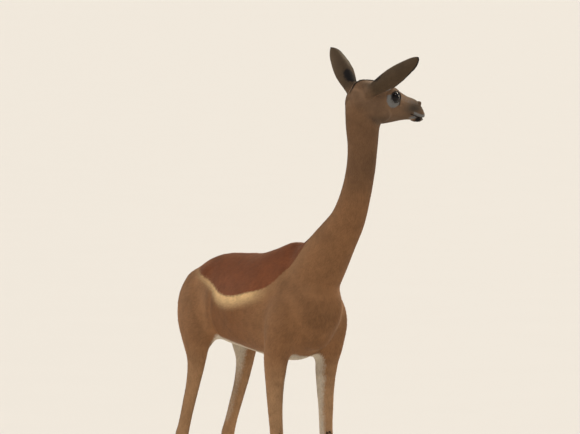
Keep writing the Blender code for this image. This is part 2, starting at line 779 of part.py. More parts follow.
def hoof(kind, side):
    """Two claws joined at the heel, flat below, cut to the coronet above."""
    point, normal = coronet(kind, side)
    rings = []
    for height in HOOF_HEIGHTS:
        inset = SOLE_INSET if height == 0.0 else 0.0
        toe = HOOF_FORWARD + HOOF_LENGTH / 2 - height * TOE_SLOPE - inset
        heel = HOOF_FORWARD - HOOF_LENGTH / 2 - height * HEEL_SLOPE + inset
        half = HOOF_HALF_WIDTH - inset
        loop = []
        for k in range(HOOF_AROUND):
            turn = 2 * math.pi * k / HOOF_AROUND
            along = (toe + heel) / 2 + (toe - heel) / 2 * math.cos(turn)
            wide = half * math.sin(turn) * (1.0 - HOOF_TOE_NARROW * math.cos(turn))
            loop.append(Vector((point.x + along, point.y + wide, height)))
        rings.append(loop)
    made = loft("hoof_" + kind + "_" + side, rings)
    combined(made, half_space(point, normal, 0.1), "DIFFERENCE")
    cleft = []
    low, high = -HOOF_HEIGHTS[-1], 2 * HOOF_HEIGHTS[-1]
    for along, half in ((CLEFT_START, 0.4 * CLEFT), (CLEFT_END, 1.4 * CLEFT)):
        corners = ((-half, low), (half, low), (half, high), (-half, high))
        cleft.append([Vector((point.x + along, point.y + y, z)) for y, z in corners])
    combined(made, loft("cutter", cleft), "DIFFERENCE")
    return largest_shell(made)


def dewclaws(kind, side):
    """Two small horn points behind the fetlock."""
    rows = FORELEG if kind == "fore" else HINDLEG
    place = leg_place(kind, side, rows[-4])
    made = []
    for sign in (1, -1):
        root = place + Vector((-0.010, sign * DEWCLAW_SIDE, -DEWCLAW_DROP / 2))
        tip = root + Vector((-DEWCLAW_DROP, sign * DEWCLAW_SIDE / 5, -DEWCLAW_DROP))
        path = [root, (root + tip) / 2, tip]
        made.append(tube_along("dewclaw", path, DEWCLAW_RADIUS, 4, 0.42))
    return made


def lock(root, aim, bend, length, half_width, flat_axis):
    """One flat tapered lock of hair, its root sunk in what carries it."""
    rings = []
    for part, size in ((0.0, 0.55), (0.25, 1.0), (0.62, 0.74), (1.0, 0.12)):
        centre = root + aim * (length * part) + bend * (length * part**2)
        along = (aim + bend * (2 * part)).normalized()
        flat = square_to(flat_axis, along)
        wide = along.cross(flat)
        half = half_width * size
        rings.append(ring(centre, wide, flat, half, half * LOCK_FLATNESS, 0.0, LOCK_AROUND))
    return loft("lock", rings)


def tail():
    """The thin tail with its tuft of locks round a short core."""
    tube = tail_tube("tail", TAIL_START, 1.0)
    pieces = [tube]
    end = Vector((TAIL_PATH[-1][0], 0.0, TAIL_PATH[-1][1]))
    down = Vector((0, 0, -1))
    for k in range(TAIL_LOCKS):
        turn = GOLDEN_TURN * k
        out = Vector((math.cos(turn), math.sin(turn), 0))
        rise = TUFT_RISE * (1 - (k + 0.5) / TAIL_LOCKS)
        root = end + Vector((0, 0, rise))
        length = TUFT_LOCK_LENGTH * (1.2 + 0.3 * math.sin(3.1 * k)) + 0.4 * (TUFT_RISE - rise)
        pieces.append(lock(root, down, out * 0.07, length, TUFT_LOCK_HALF_WIDTH, out))
    return largest_shell(united("tail", pieces))


def knee_brush(side):
    """A few short locks on the front of the knee."""
    place = leg_place("fore", side, FORELEG[7])
    made = []
    for k in range(KNEE_LOCKS):
        across = (k - (KNEE_LOCKS - 1) / 2) * KNEE_LOCK_SPACING
        root = place + Vector((0.0165 - abs(across) * 0.45, across, 0.010 - 0.005 * (k % 2)))
        aim = Vector((0.08, across * 5, -1.0)).normalized()
        fore = Vector((1, 0, 0))
        made.append(lock(root, aim, fore * 0.06, KNEE_LOCK_LENGTH, KNEE_LOCK_SPACING, fore))
    return made


def leg(body, kind, side):
    """One leg out of the body, with its dewclaws and, in front, its knee brush."""
    made = copy_of(body, kind + "leg_" + side)
    combined(made, leg_cutter(kind, side), "INTERSECT")
    extra = dewclaws(kind, side)
    if kind == "fore":
        extra += knee_brush(side)
    made = united(made.name, [largest_shell(made)] + extra)
    point, normal = coronet(kind, side)
    combined(made, half_space(point, -normal, 0.1, GAP), "DIFFERENCE")
    return largest_shell(made)


def rounded_off(obj, slot, roughness):
    """Gives a finished node its material and its own centre as its place."""
    obj.data.materials.clear()
    obj.data.materials.append(finish_of(slot, roughness))
    obj.data.shade_smooth()
    obj.data.set_sharp_from_angle(angle=math.radians(SHARP_ANGLE))
    return obj


def settled(nodes):
    """Moves the whole animal so that the middle of its box stands on the origin."""
    low = Vector((math.inf,) * 3)
    high = -low
    for obj in nodes:
        for vert in obj.data.vertices:
            low = Vector(map(min, low, vert.co))
            high = Vector(map(max, high, vert.co))
    shift = Vector((-(low.x + high.x) / 2, -(low.y + high.y) / 2, -low.z))
    for obj in nodes:
        middle = sum((v.co for v in obj.data.vertices), Vector()) / len(obj.data.vertices)
        obj.data.transform(Matrix.Translation(-middle))
        obj.location = middle + shift


def main():
    clear_scene()
    body = fused_body()
    head = fused_head()
    nodes = [rounded_off(head, "coat_tan", COAT_ROUGHNESS)]

    neck = copy_of(body, "neck")
    neck_point, neck_normal = NECK_BASE
    head_point, head_normal = HEAD_BASE
    combined(neck, half_space(neck_point, neck_normal, 1.0), "INTERSECT")
    combined(neck, half_space(head_point, head_normal, 0.5, GAP), "DIFFERENCE")
    nodes.append(rounded_off(largest_shell(neck), "coat_tan", COAT_ROUGHNESS))

    for kind in ("fore", "hind"):
        for side in SIDES:
            limb = leg(body, kind, side)
            nodes.append(rounded_off(limb, "coat_tan", COAT_ROUGHNESS))
            nodes.append(rounded_off(hoof(kind, side), "hoof", HOOF_ROUGHNESS))

    torso = body
    torso.name = "torso"
    combined(torso, half_space(neck_point, neck_normal, 1.0, GAP), "DIFFERENCE")
    for kind in ("fore", "hind"):
        for side in SIDES:
            combined(torso, leg_cutter(kind, side, GAP), "DIFFERENCE")
    combined(torso, tail_tube("cutter", TAIL_START, TAIL_SOCKET_END, GAP), "DIFFERENCE")
    nodes.append(rounded_off(largest_shell(torso), "coat_saddle", COAT_ROUGHNESS))
    nodes.append(rounded_off(tail(), "coat_dark", COAT_ROUGHNESS))

    for side in SIDES:
        ear = largest_shell(ear_shell(side))
        nodes.append(rounded_off(ear, "coat_dark", COAT_ROUGHNESS))
        nodes.append(rounded_off(eyeball("eye_" + side, side), "eye", EYE_ROUGHNESS))
    settled(nodes)


main()
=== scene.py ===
"""The finish of a life-size standing gerenuk doe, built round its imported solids.

Lengths are in metres in the shared frame: +X is the way the body faces, +Y its left
side and +Z up. Places on the body are given from the body's own origin, on the ground
under the middle of the trunk. Places on the head are (forward, left, up) from the
point midway between the eyes.
"""

import functools
import math

import bmesh
import bpy
import numpy as np
from mathutils import Matrix, Vector
from mathutils.bvhtree import BVHTree


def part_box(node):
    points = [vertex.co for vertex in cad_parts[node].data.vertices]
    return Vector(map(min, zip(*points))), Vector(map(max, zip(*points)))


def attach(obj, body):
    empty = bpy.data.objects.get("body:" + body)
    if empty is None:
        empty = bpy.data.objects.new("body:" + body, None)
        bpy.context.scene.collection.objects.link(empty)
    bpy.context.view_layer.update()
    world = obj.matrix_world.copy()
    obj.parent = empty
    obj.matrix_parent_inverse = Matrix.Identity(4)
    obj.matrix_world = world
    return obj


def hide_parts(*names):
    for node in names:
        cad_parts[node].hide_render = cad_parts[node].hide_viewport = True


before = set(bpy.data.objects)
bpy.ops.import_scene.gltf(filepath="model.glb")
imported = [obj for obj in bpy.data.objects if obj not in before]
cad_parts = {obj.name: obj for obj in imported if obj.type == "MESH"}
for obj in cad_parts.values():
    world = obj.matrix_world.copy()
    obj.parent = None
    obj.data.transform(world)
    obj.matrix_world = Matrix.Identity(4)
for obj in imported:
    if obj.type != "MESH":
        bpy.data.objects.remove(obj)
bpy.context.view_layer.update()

bl_info = {
    "name": "Gerenuk finish",
    "version": (1, 0, 0),
    "blender": (4, 5, 0),
    "location": "View3D > Sidebar > Gerenuk",
    "description": "Skin, coat, eyes, horn and stage for the gerenuk model",
    "category": "Object",
}


def middle_of(node):
    """The middle of a solid's box."""
    low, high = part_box(node)
    return (low + high) / 2


# The head and body axes, worked out from the eyes.
UP = Vector((0.0, 0.0, 1.0))
EYE_MIDDLES = {side: middle_of("eye_" + side) for side in ("left", "right")}
HEAD_MIDDLE = (EYE_MIDDLES["left"] + EYE_MIDDLES["right"]) / 2
HEAD_LEFT = (EYE_MIDDLES["left"] - EYE_MIDDLES["right"]).normalized()
HEAD_FORWARD = HEAD_LEFT.cross(UP).normalized()
EYES_FROM_BODY = Vector((0.484, 0.134, 1.316))
BODY_ORIGIN = HEAD_MIDDLE - EYES_FROM_BODY
SIDES = {"left": 1, "right": -1}
EYE_RADIUS = 0.0190

FLESH = ["head", "neck", "torso"] + [f"{end}leg_{side}" for end in ("fore", "hind") for side in SIDES]
HOOVES = [f"hoof_{end}_{side}" for end in ("fore", "hind") for side in SIDES]

# The planes between head, neck and trunk, and the neck's line, from the body's origin.
HEAD_BASE = (Vector((0.492, 0.064, 1.256)), Vector((-0.05, 0.50, 0.866)).normalized())
NECK_BASE = (Vector((0.335, 0.0, 0.830)), Vector((0.72, 0.0, 0.69)).normalized())
NECK_LINE = [(0.270, 0.000, 0.790), (0.344, 0.005, 0.850), (0.404, 0.016, 0.915), (0.448, 0.031, 0.975)]
NECK_LINE += [(0.472, 0.043, 1.045), (0.486, 0.051, 1.115), (0.491, 0.054, 1.180)]
NECK_LINE += [(0.488, 0.056, 1.238), (0.484, 0.064, 1.292)]
# The lower edge of the dark saddle along the side: forward, height.
SADDLE_EDGE = [(-0.40, 0.840), (-0.35, 0.812), (-0.30, 0.806), (-0.23, 0.789), (-0.145, 0.768)]
SADDLE_EDGE += [(-0.067, 0.745), (0.010, 0.743), (0.100, 0.757), (0.195, 0.780), (0.260, 0.826)]
SADDLE_EDGE += [(0.300, 0.868), (0.340, 0.935), (0.400, 1.080), (0.450, 1.300), (0.600, 1.900)]
# The lowest line of the trunk: forward, height.
BELLY_LINE = [(-0.36, 0.640), (-0.285, 0.606), (-0.20, 0.594), (-0.09, 0.584), (0.02, 0.575)]
BELLY_LINE += [(0.12, 0.566), (0.20, 0.566), (0.265, 0.578), (0.33, 0.600), (0.38, 0.640)]
LEG_LINE = 0.076
KNEE_FRONT = Vector((0.250, 0.074, 0.345))
# The mouth's line on the head: forward, up.
MOUTH_LINE = [(0.066, -0.0470), (0.078, -0.0500), (0.090, -0.0540)]
MOUTH_LINE += [(0.101, -0.0575), (0.112, -0.0595), (0.124, -0.0600)]
NOSTRIL = (0.1150, 0.0095, -0.0268)

# The ears, as in the solids: root and aim on the head, and half widths along the length.
EAR_LENGTH = 0.176
EAR_ROOT = (-0.096, 0.037, 0.020)
EAR_BOW = 0.010
EAR_AIM = {"left": (0.120, 0.735, 0.668), "right": (0.590, -0.602, 0.531)}
EAR_OPENING = {"left": (1.0, 0.35, -0.5), "right": (1.0, 0.0, 0.0)}
EAR_PARTS = (0.0, 0.12, 0.28, 0.45, 0.60, 0.75, 0.88, 0.96, 1.0)
EAR_HALVES = (0.0180, 0.0195, 0.0245, 0.0285, 0.0278, 0.0240, 0.0178, 0.0118, 0.0052)
EAR_FOLD_PARTS = (0.17, 0.28, 0.45, 0.80, 1.0)
EAR_FOLDS = (168.0, 124.0, 97.0, 76.0, 62.0)
# The dark spot at the back of each ear: its middle and its half sizes, along and across.
EAR_SPOT = {"left": ((0.043, 0.013), (0.028, 0.0120)), "right": ((0.042, 0.014), (0.018, 0.0110))}

# The tail's line behind the body: forward, height.
TAIL_LINE = [(-0.350, 0.782), (-0.380, 0.776), (-0.404, 0.762), (-0.425, 0.735)]
TAIL_LINE += [(-0.436, 0.690), (-0.438, 0.620), (-0.436, 0.560), (-0.434, 0.500)]

# The eye's opening, as angles from the eye's own axis, in degrees.
EYE_FORWARD_TURN = 11.0
EYE_UPWARD_TURN = 6.0
GAZE_DROP = 0.30
LID_WIDE = 58.0
LID_HIGH = 52.0
LID_FORWARD = 4.0

# Points of a solid nearer than this are one point.
MERGE_DISTANCE = 1e-5
# How the tufts' number goes with their size: the smaller, the closer.
HAIR_PACKING = -0.9
# Slices that a surface's middle line is found in, for its map.
MAP_SLICES = 24


def length_setting(name, description, default):
    """A setting in metres."""
    return bpy.props.FloatProperty(name=name, description=description, default=default, unit="LENGTH")


def angle_setting(name, description, degrees):
    """An angle that is given in degrees and kept in radians."""
    default = math.radians(degrees)
    return bpy.props.FloatProperty(name=name, description=description, default=default, subtype="ANGLE")


def number_setting(name, description, default):
    """A plain number, whole where its default is whole."""
    kind = bpy.props.IntProperty if isinstance(default, int) else bpy.props.FloatProperty
    return kind(name=name, description=description, default=default)


def colour_setting(name, description, *default):
    """A colour that is given as red, green and blue."""
    return bpy.props.FloatVectorProperty(
        name=name, description=description, default=(*default, 1.0), size=4, subtype="COLOR"
    )


class GerenukSkinSettings(bpy.types.PropertyGroup):
    voxel: length_setting("Body grid", "Cell of the grid that fuses the solids into one skin", 0.0060)
    rounds: number_setting("Body smoothing", "Rounds of smoothing over the whole skin", 90)
    head_rounds: number_setting("Head smoothing", "Rounds of smoothing over the finer head", 18)
    coat_depth: length_setting("Coat depth", "How far the skin lies inside the coat's outline", 0.0012)


class GerenukCoatSettings(bpy.types.PropertyGroup):
    length: length_setting("Hair length", "Length of a tuft on the trunk", 0.0125)
    width: length_setting("Tuft width", "Width of a tuft on the trunk", 0.00140)
    density: number_setting("Tufts per square metre", "How closely the tufts stand on the trunk", 238000.0)
    lift: angle_setting("Lift", "How far the tufts stand off the skin", 3.8)
    tan: colour_setting("Tan", "Colour of the neck, shoulders and thighs", 0.270, 0.129, 0.055)
    saddle: colour_setting("Saddle", "Colour of the dark saddle on the back", 0.200, 0.059, 0.020)
    flank: colour_setting("Flank", "Colour of the lower flank", 0.185, 0.072, 0.022)
    band: colour_setting("Band", "Colour of the pale line under the saddle", 0.850, 0.580, 0.280)
    leg: colour_setting("Legs", "Colour of the lower legs", 0.400, 0.225, 0.110)
    head: colour_setting("Head", "Colour of the cheeks and the back of the head", 0.215, 0.124, 0.069)
    ear: colour_setting("Ears", "Colour of the backs of the ears", 0.084, 0.053, 0.029)
    # The muzzle's colour is also painted as shade on the upper neck, the nose bridge and under the jaw.
    muzzle: colour_setting("Muzzle", "Colour of the sides of the muzzle", 0.052, 0.042, 0.031)
    belly: colour_setting("Belly", "Colour of the belly, inner legs and rump patch", 0.600, 0.520, 0.410)
    # The white marks are real, but their grey stands in for the shade on them: painted shade.
    white: colour_setting("White", "Colour of the eye rings, lips and chin", 0.215, 0.210, 0.203)
    dark: colour_setting("Black", "Colour of tail tuft, knee brushes and face marks", 0.012, 0.009, 0.008)


class GerenukStageSettings(bpy.types.PropertyGroup):
    azimuth: angle_setting("Azimuth", "Which way round the animal the camera stands", 62.0)
    elevation: angle_setting("Elevation", "How far the camera stands above the horizon", 3.0)
    distance: length_setting("Distance", "From the camera to the withers", 15.0)
    pixels_per_metre: number_setting("Pixels per metre", "Scale of the photograph at the withers", 350.0)
    floor_colour: colour_setting("Floor", "Colour of the floor", 0.72, 0.71, 0.69)
    floor_radius: length_setting("Floor radius", "How far the floor reaches", 400.0)
    back_light: number_setting("Back light", "Strength of the warm light behind the animal", 2.15)
    rim_light: number_setting("Rim light", "Strength of the low warm lights that edge the coat", 0.62)
    front_light: number_setting("Front light", "Strength of the soft light from the camera's left", 0.85)
    key_light: number_setting("Key light", "Strength of the high light from the camera's right", 0.42)
    sky_light: number_setting("Room light", "Strength of the even light all round", 0.48)


# Image size and the pixel where a point 0.90 m over the body's origin stands.
IMAGE_WIDTH = 580
IMAGE_HEIGHT = 434
WITHERS_PIXEL = (263, 239)
WITHERS_HEIGHT = 0.90
SENSOR = 36.0
# How bright the backdrop looks to the camera.
BACKDROP_LIGHT = 0.80


def between(rows, count):
    """Rows read along a smooth curve through them, as count evenly spaced rows."""
    table = np.array(rows, float)
    padded = np.vstack([2 * table[0] - table[1], table, 2 * table[-1] - table[-2]])
    out = []
    for at in np.linspace(0, len(table) - 1 - 1e-9, count):
        i, t = int(at), at - int(at)
        a, b, c, d = padded[i : i + 4]
        curve = (c - a) * t + (2 * a - 5 * b + 4 * c - d) * t**2
        curve = curve + (3 * b - a - 3 * c + d) * t**3
        out.append(b + curve / 2)
    return np.array(out)


def smooth(low, high, value):
    """0 below low, 1 above high, and an even rise between."""
    t = np.clip((value - low) / (high - low), 0.0, 1.0)
    return t * t * (3 - 2 * t)


def hump(value, width):
    """1 where the value is 0, falling off evenly on both sides."""
    return np.exp(-((value / width) ** 2))


def along_table(value, table):
    """A table's second column read at a value of its first, as a smooth curve."""
    rows = between(table, 12 * len(table))
    return np.interp(value, rows[:, 0], rows[:, 1])


def tangents(centres):
    """Unit directions along a path of points."""
    steps = [centres[1] - centres[0]]
    steps += [b - a for a, b in zip(centres, centres[2:])]
    steps.append(centres[-1] - centres[-2])
    return [s.normalized() for s in steps]


def square_to(axis, along):
    """The part of axis that is square to along, at unit length."""
    return (axis - along * axis.dot(along)).normalized()


def head_point(forward, left, up):
    """A place on the head, in the shared frame."""
    return HEAD_MIDDLE + HEAD_FORWARD * forward + HEAD_LEFT * left + UP * up


def head_vector(forward, left, up):
    return HEAD_FORWARD * forward + HEAD_LEFT * left + UP * up


def head_axes(points):
    """Points as (forward, left, up) from the middle of the head."""
    offset = points - np.array(HEAD_MIDDLE)
    return offset @ np.array(HEAD_FORWARD), offset @ np.array(HEAD_LEFT), offset[:, 2]


def body_axes(points):
    """Points as (forward, left, up) from the body's origin."""
    return (points - np.array(BODY_ORIGIN)).T


def beyond(points, plane):
    """Signed distance of points past a plane given from the body's origin."""
    point, normal = plane
    return (points - np.array(BODY_ORIGIN + point)) @ np.array(normal)


def numbers_of(items, name, width=1, kind=float):
    """One property of all of a mesh's items, as rows of numbers."""
    values = np.empty(len(items) * width, kind)
    items.foreach_get(name, values)
    return values.reshape(-1, width) if width > 1 else values


def points_of(mesh):
    return numbers_of(mesh.vertices, "co", 3)


def normals_of(mesh):
    return numbers_of(mesh.vertices, "normal", 3)


def put_points(mesh, points):
    mesh.vertices.foreach_set("co", np.asarray(points, float).ravel())
    mesh.update()


def new_object(name, mesh):
    obj = bpy.data.objects.new(name, mesh)
    bpy.context.scene.collection.objects.link(obj)
    return obj


def object_from(name, shape):
    mesh = bpy.data.meshes.new(name)
    shape.to_mesh(mesh)
    shape.free()
    mesh.shade_smooth()
    return new_object(name, mesh)


def merged_solids(names):
    """A working copy of some solids with their doubled points merged."""
    shape = bmesh.new()
    for name in names:
        shape.from_mesh(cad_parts[name].data)
    bmesh.ops.remove_doubles(shape, verts=shape.verts, dist=MERGE_DISTANCE)
    return shape


def ring_of_points(shape, centre, first, second, radius, count):
    """New points on a circle that two directions span."""
    turns = np.linspace(0, 2 * math.pi, count, endpoint=False)
    return [shape.verts.new(centre + (first * math.cos(t) + second * math.sin(t)) * radius) for t in turns]


def close_tube(shape, loops):
    """Faces between rings of points, with a flat face over each end."""
    for low, high in zip(loops, loops[1:]):
        for a, b, c, d in zip(low, low[1:] + low[:1], high[1:] + high[:1], high):
            shape.faces.new((a, b, c, d))
    shape.faces.new(reversed(loops[0]))
    shape.faces.new(loops[-1])


def baked(obj):
    """The object with its modifiers made into its mesh."""
    graph = bpy.context.evaluated_depsgraph_get()
    evaluated = obj.evaluated_get(graph)
    mesh = bpy.data.meshes.new_from_object(evaluated, preserve_all_data_layers=True, depsgraph=graph)
    obj.modifiers.clear()
    old = obj.data
    obj.data = mesh
    bpy.data.meshes.remove(old)
    return obj


def dressed(obj, nodes=(), material=None):
    """Gives a finished piece its material, body and slot, and hides the solids that it stands for."""
    if material:
        obj.data.materials.clear()
        obj.data.materials.append(material)
    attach(obj, "root")
    if nodes:
        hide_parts(*nodes)
    return obj


def store(mesh, fields, domain="POINT"):
    """Keeps named numbers or vectors on a mesh."""
    for name, values in fields.items():
        kind = {1: "FLOAT", 2: "FLOAT_VECTOR"}[values.ndim]
        key = "value" if values.ndim == 1 else "vector"
        found = mesh.attributes.get(name) or mesh.attributes.new(name, kind, domain)
        found.data.foreach_set(key, values.astype(np.float32).ravel())


def relaxed(mesh, rounds, weight):
    """Evens a surface without shrinking it, by one step in and one step out."""
    points = points_of(mesh)
    size = len(points)
    a, b = numbers_of(mesh.edges, "vertices", 2, int).T
    count = np.bincount(np.concatenate([a, b]), minlength=size)[:, None]
    for step in (0.5, -0.505) * rounds:
        total = np.empty_like(points)
        for k in range(3):
            total[:, k] = np.bincount(a, points[b, k], size) + np.bincount(b, points[a, k], size)
        points += step * weight[:, None] * (total / count - points)
    put_points(mesh, points)


def eye_axes(side):
    """Outward, forward and upward directions of an eye."""
    sign = SIDES[side]
    turn = math.radians(EYE_FORWARD_TURN)
    lift = math.radians(EYE_UPWARD_TURN)
    out = head_vector(math.sin(turn), sign * math.cos(turn) * math.cos(lift), math.sin(lift)).normalized()
    up = square_to(UP, out)
    fore = square_to(head_vector(1.0, 0.0, -GAZE_DROP), out)
    return out, square_to(fore, up), up


def lid_angles(turn):
    """The eye's opening at a turn round it: an almond drawn out to its front corner."""
    corner = max(0.0, math.cos(turn)) ** 7
    back = max(0.0, -math.cos(turn)) ** 5
    wide = LID_FORWARD + LID_WIDE * math.cos(turn) + 12.0 * corner
    high = LID_HIGH * math.sin(turn) - 16.0 * corner + 6.0 * back
    if high > 0:
        high *= 0.90
    return math.radians(wide), math.radians(high)


def eye_ray(axes, wide, high):
    """The direction out of an eye at two angles from its axis."""
    out, fore, up = axes
    tilt = math.hypot(wide, high)
    if tilt < 1e-6:
        return out
    return out * math.cos(tilt) + (fore * wide + up * high).normalized() * math.sin(tilt)


def opening_share(points, side):
    """How far out points lie in an eye's opening, 1 at its rim, and how far from the eye's middle."""
    out, fore, up = (np.array(v) for v in eye_axes(side))
    offset = points - np.array(EYE_MIDDLES[side])
    distance = np.linalg.norm(offset, axis=1)
    ray = offset / np.maximum(distance, 1e-6)[:, None]
    tilt = np.arccos(np.clip(ray @ out, -1, 1))
    turn = np.arctan2(ray @ up * LID_WIDE / LID_HIGH, ray @ fore)
    turns = np.linspace(-math.pi, math.pi, 73)
    rim = np.interp(turn, turns, [math.hypot(*lid_angles(t)) for t in turns])
    return tilt / rim, distance


def fused_solids(voxel):
    """One closed skin over copies of the flesh solids, with the eye sockets filled."""
    shape = merged_solids(FLESH)
    for side in SIDES:
        place = Matrix.Translation(EYE_MIDDLES[side])
        bmesh.ops.create_icosphere(shape, subdivisions=4, radius=EYE_RADIUS + 0.0008, matrix=place)
    obj = object_from("gerenuk_skin", shape)
    modifier = obj.modifiers.new("fuse", "REMESH")
    modifier.mode = "VOXEL"
    modifier.voxel_size = voxel
    modifier.adaptivity = 0.0
    return baked(obj)


def faces_of(mesh, wanted):
    """A working copy of a mesh, and for each of its faces whether its middle is wanted."""
    shape = bmesh.new()
    shape.from_mesh(mesh)
    return shape, wanted(np.array([f.calc_center_median() for f in shape.faces]))


def finer_faces(obj, wanted):
    """Splits the faces whose middles are wanted into four."""
    shape, keep = faces_of(obj.data, wanted)
    edges = {e for f, k in zip(shape.faces, keep) if k for e in f.edges}
    bmesh.ops.subdivide_edges(shape, edges=list(edges), cuts=1, use_grid_fill=True)
    bmesh.ops.triangulate(shape, faces=[f for f in shape.faces if len(f.verts) > 4])
    shape.to_mesh(obj.data)
    shape.free()
    obj.data.shade_smooth()


def on_solids(points, weight):
    """Points drawn onto the head and neck solids by a weight."""
    shape = merged_solids(("head", "neck"))
    tree = BVHTree.FromBMesh(shape)
    shape.free()
    out = points.copy()
    for k in np.nonzero(weight > 0.01)[0]:
        near = tree.find_nearest(Vector(points[k]))[0]
        out[k] += weight[k] * (np.array(near) - points[k])
    return out


def face_weight(points):
    """1 on the face in front of the ears, fading behind."""
    forward, left, up = head_axes(points)
    return smooth(-0.050, -0.025, forward) * (up > -0.13) * (np.abs(left) < 0.12)


def gap_to(points, places):
    """Distance of points from the nearer of two places."""
    return np.minimum(*(np.linalg.norm(points - np.array(place), axis=1) for place in places))


def eye_gap(points):
    """Distance of points from the nearer eye's middle."""
    return gap_to(points, EYE_MIDDLES.values())


def nostril_gap(points):
    """Distance of points from the nearer nostril."""
    forward, side, up = NOSTRIL
    return gap_to(points, [head_point(forward, s * side, up) for s in SIDES.values()])


def near_features(points):
    """Where the skin is finest: round the eyes, the nostrils and the mouth."""
    forward, _, up = head_axes(points)
    mouth = (np.abs(up + 0.054) < 0.010) & (forward > 0.058)
    nose = (forward > 0.100) & (up > -0.045)
    return ((mouth | nose) & (up > -0.13) & (forward < 0.14)) | (eye_gap(points) < 0.0250)


def shaped_round_eyes(points):
    """Skin that dives behind the eyeball inside the opening and rises to the lids outside it."""
    for side in SIDES:
        share, distance = opening_share(points, side)
        near = (share < 1.9) & (distance < EYE_RADIUS + 0.014)
        floor = EYE_RADIUS - 0.0045
        inside = 1 - smooth(0.94, 1.06, share)
        rim = np.maximum(distance, EYE_RADIUS + 0.0010)
        wanted = np.where(share < 1.45, inside * floor + (1 - inside) * rim, distance)
        offset = points - np.array(EYE_MIDDLES[side])
        moved = np.array(EYE_MIDDLES[side]) + offset * (wanted / np.maximum(distance, 1e-6))[:, None]
        points = np.where(near[:, None], moved, points)
    return points


def creases(points, normals):
    """The mouth's line, lips, nostrils, tear pits and lid folds, as pushes along the normals."""
    forward, left, up = head_axes(points)
    on_head = (up > -0.13) & (np.abs(left) < 0.10) & (forward < 0.15) & (forward > -0.14)
    off_line = np.abs(up - along_table(forward, MOUTH_LINE))
    reach = smooth(0.064, 0.073, forward)
    push = -0.0018 * reach * hump(off_line, 0.0014)
    push += 0.0009 * reach * hump(off_line - 0.0048, 0.0030)
    for side in SIDES.values():
        a, s, u = forward - NOSTRIL[0], side * left - NOSTRIL[1], up - NOSTRIL[2]
        run = a * 0.77 + s * 0.30 - u * 0.36
        across = u * 0.86 + a * 0.42
        here = side * left > 0.002
        push -= 0.0026 * np.exp(-((run / 0.0055) ** 2) - (across / 0.0019) ** 2) * here
        push += 0.0010 * np.exp(-((run / 0.0065) ** 2) - ((across - 0.0042) / 0.0024) ** 2) * here
    pit = ((forward - 0.030) / 0.0075) ** 2 + ((up + 0.021) / 0.0045) ** 2
    push -= 0.0016 * np.exp(-pit)
    for side in SIDES:
        share, distance = opening_share(points, side)
        fold = hump(share - 1.62, 0.085) * (distance < EYE_RADIUS + 0.010)
        push -= 0.0013 * fold * (0.5 + 0.5 * np.sign(up))
        push -= 0.0007 * fold * (0.5 - 0.5 * np.sign(up))
    return points + normals * (push * on_head)[:, None]


def ear_share(points, side):
    """1 on the root of an ear, fading on the head round it."""
    root, aim, _, _ = ear_axes(side)
    offset = points - np.array(root)
    rise = offset @ np.array(aim)
    off = np.linalg.norm(offset - rise[:, None] * np.array(aim), axis=1)
    return smooth(-0.012, 0.022, rise) * (1 - smooth(0.022, 0.034, off))


def hair_size(points):
    """Size of the hair against that of the trunk: smallest on the face and feet."""
    forward = head_axes(points)[0]
    on_head = smooth(-0.03, 0.03, beyond(points, HEAD_BASE))
    on_neck = smooth(-0.06, 0.06, beyond(points, NECK_BASE))
    z = body_axes(points)[2]
    body = 1.0 - 0.28 * on_neck - 0.42 * (1 - smooth(0.30, 0.62, z)) - 0.10 * (1 - smooth(0.05, 0.20, z))
    body = body - 0.10 * smooth(1.00, 1.22, z)
    face = np.interp(forward, (-0.12, -0.03, 0.04, 0.085, 0.12), (0.52, 0.42, 0.36, 0.28, 0.22))
    face = face * (1 - 0.35 * (1 - smooth(0.021, 0.034, eye_gap(points))))
    for side in SIDES:
        face = face * (1 + 0.10 * ear_share(points, side))
    return body * (1 - on_head) + face * on_head


def hair_lie(points):
    """The way the coat lies: back from the nose, down the neck, back along the trunk, down the legs."""
    on_head = smooth(-0.03, 0.03, beyond(points, HEAD_BASE))[:, None]
    on_neck = smooth(-0.08, 0.08, beyond(points, NECK_BASE))[:, None]
    x, y, z = body_axes(points)
    on_leg = (1 - smooth(0.50, 0.66, z))[:, None]
    none, one = np.zeros_like(z), np.ones_like(z)
    line = np.array(NECK_LINE)
    rise = 0.01

    def lean(k):
        """How far the neck's line leans for each step up."""
        above, below = (np.interp(z + step, line[:, 2], line[:, k]) for step in (rise, -rise))
        return (above - below) / (2 * rise)

    neck = -np.stack([lean(0), lean(1), one], axis=1)
    trunk = np.stack([-one, 0.25 * np.sign(y), -0.42 - 0.5 * smooth(0.05, 0.30, x)], axis=1)
    leg = np.stack([-0.12 * one, none, -one], axis=1)
    head = np.tile(-np.array(HEAD_FORWARD), (len(points), 1))
    head[:, 2] -= 0.30 + 0.5 * smooth(0.01, -0.04, head_axes(points)[2])
    body = neck * on_neck + (1 - on_neck) * (leg * on_leg + trunk * (1 - on_leg))
    for side in SIDES:
        share = ear_share(points, side)[:, None]
        head = head * (1 - share) + np.array(ear_axes(side)[1]) * share
    lie = head * on_head + body * (1 - on_head)
    return lie / np.linalg.norm(lie, axis=1)[:, None]


def ellipse(u, v, centre, halves):
    """Signed distance, roughly, into an ellipse in two coordinates."""
    r = np.hypot((u - centre[0]) / halves[0], (v - centre[1]) / halves[1])
    return (1 - r) * min(halves)


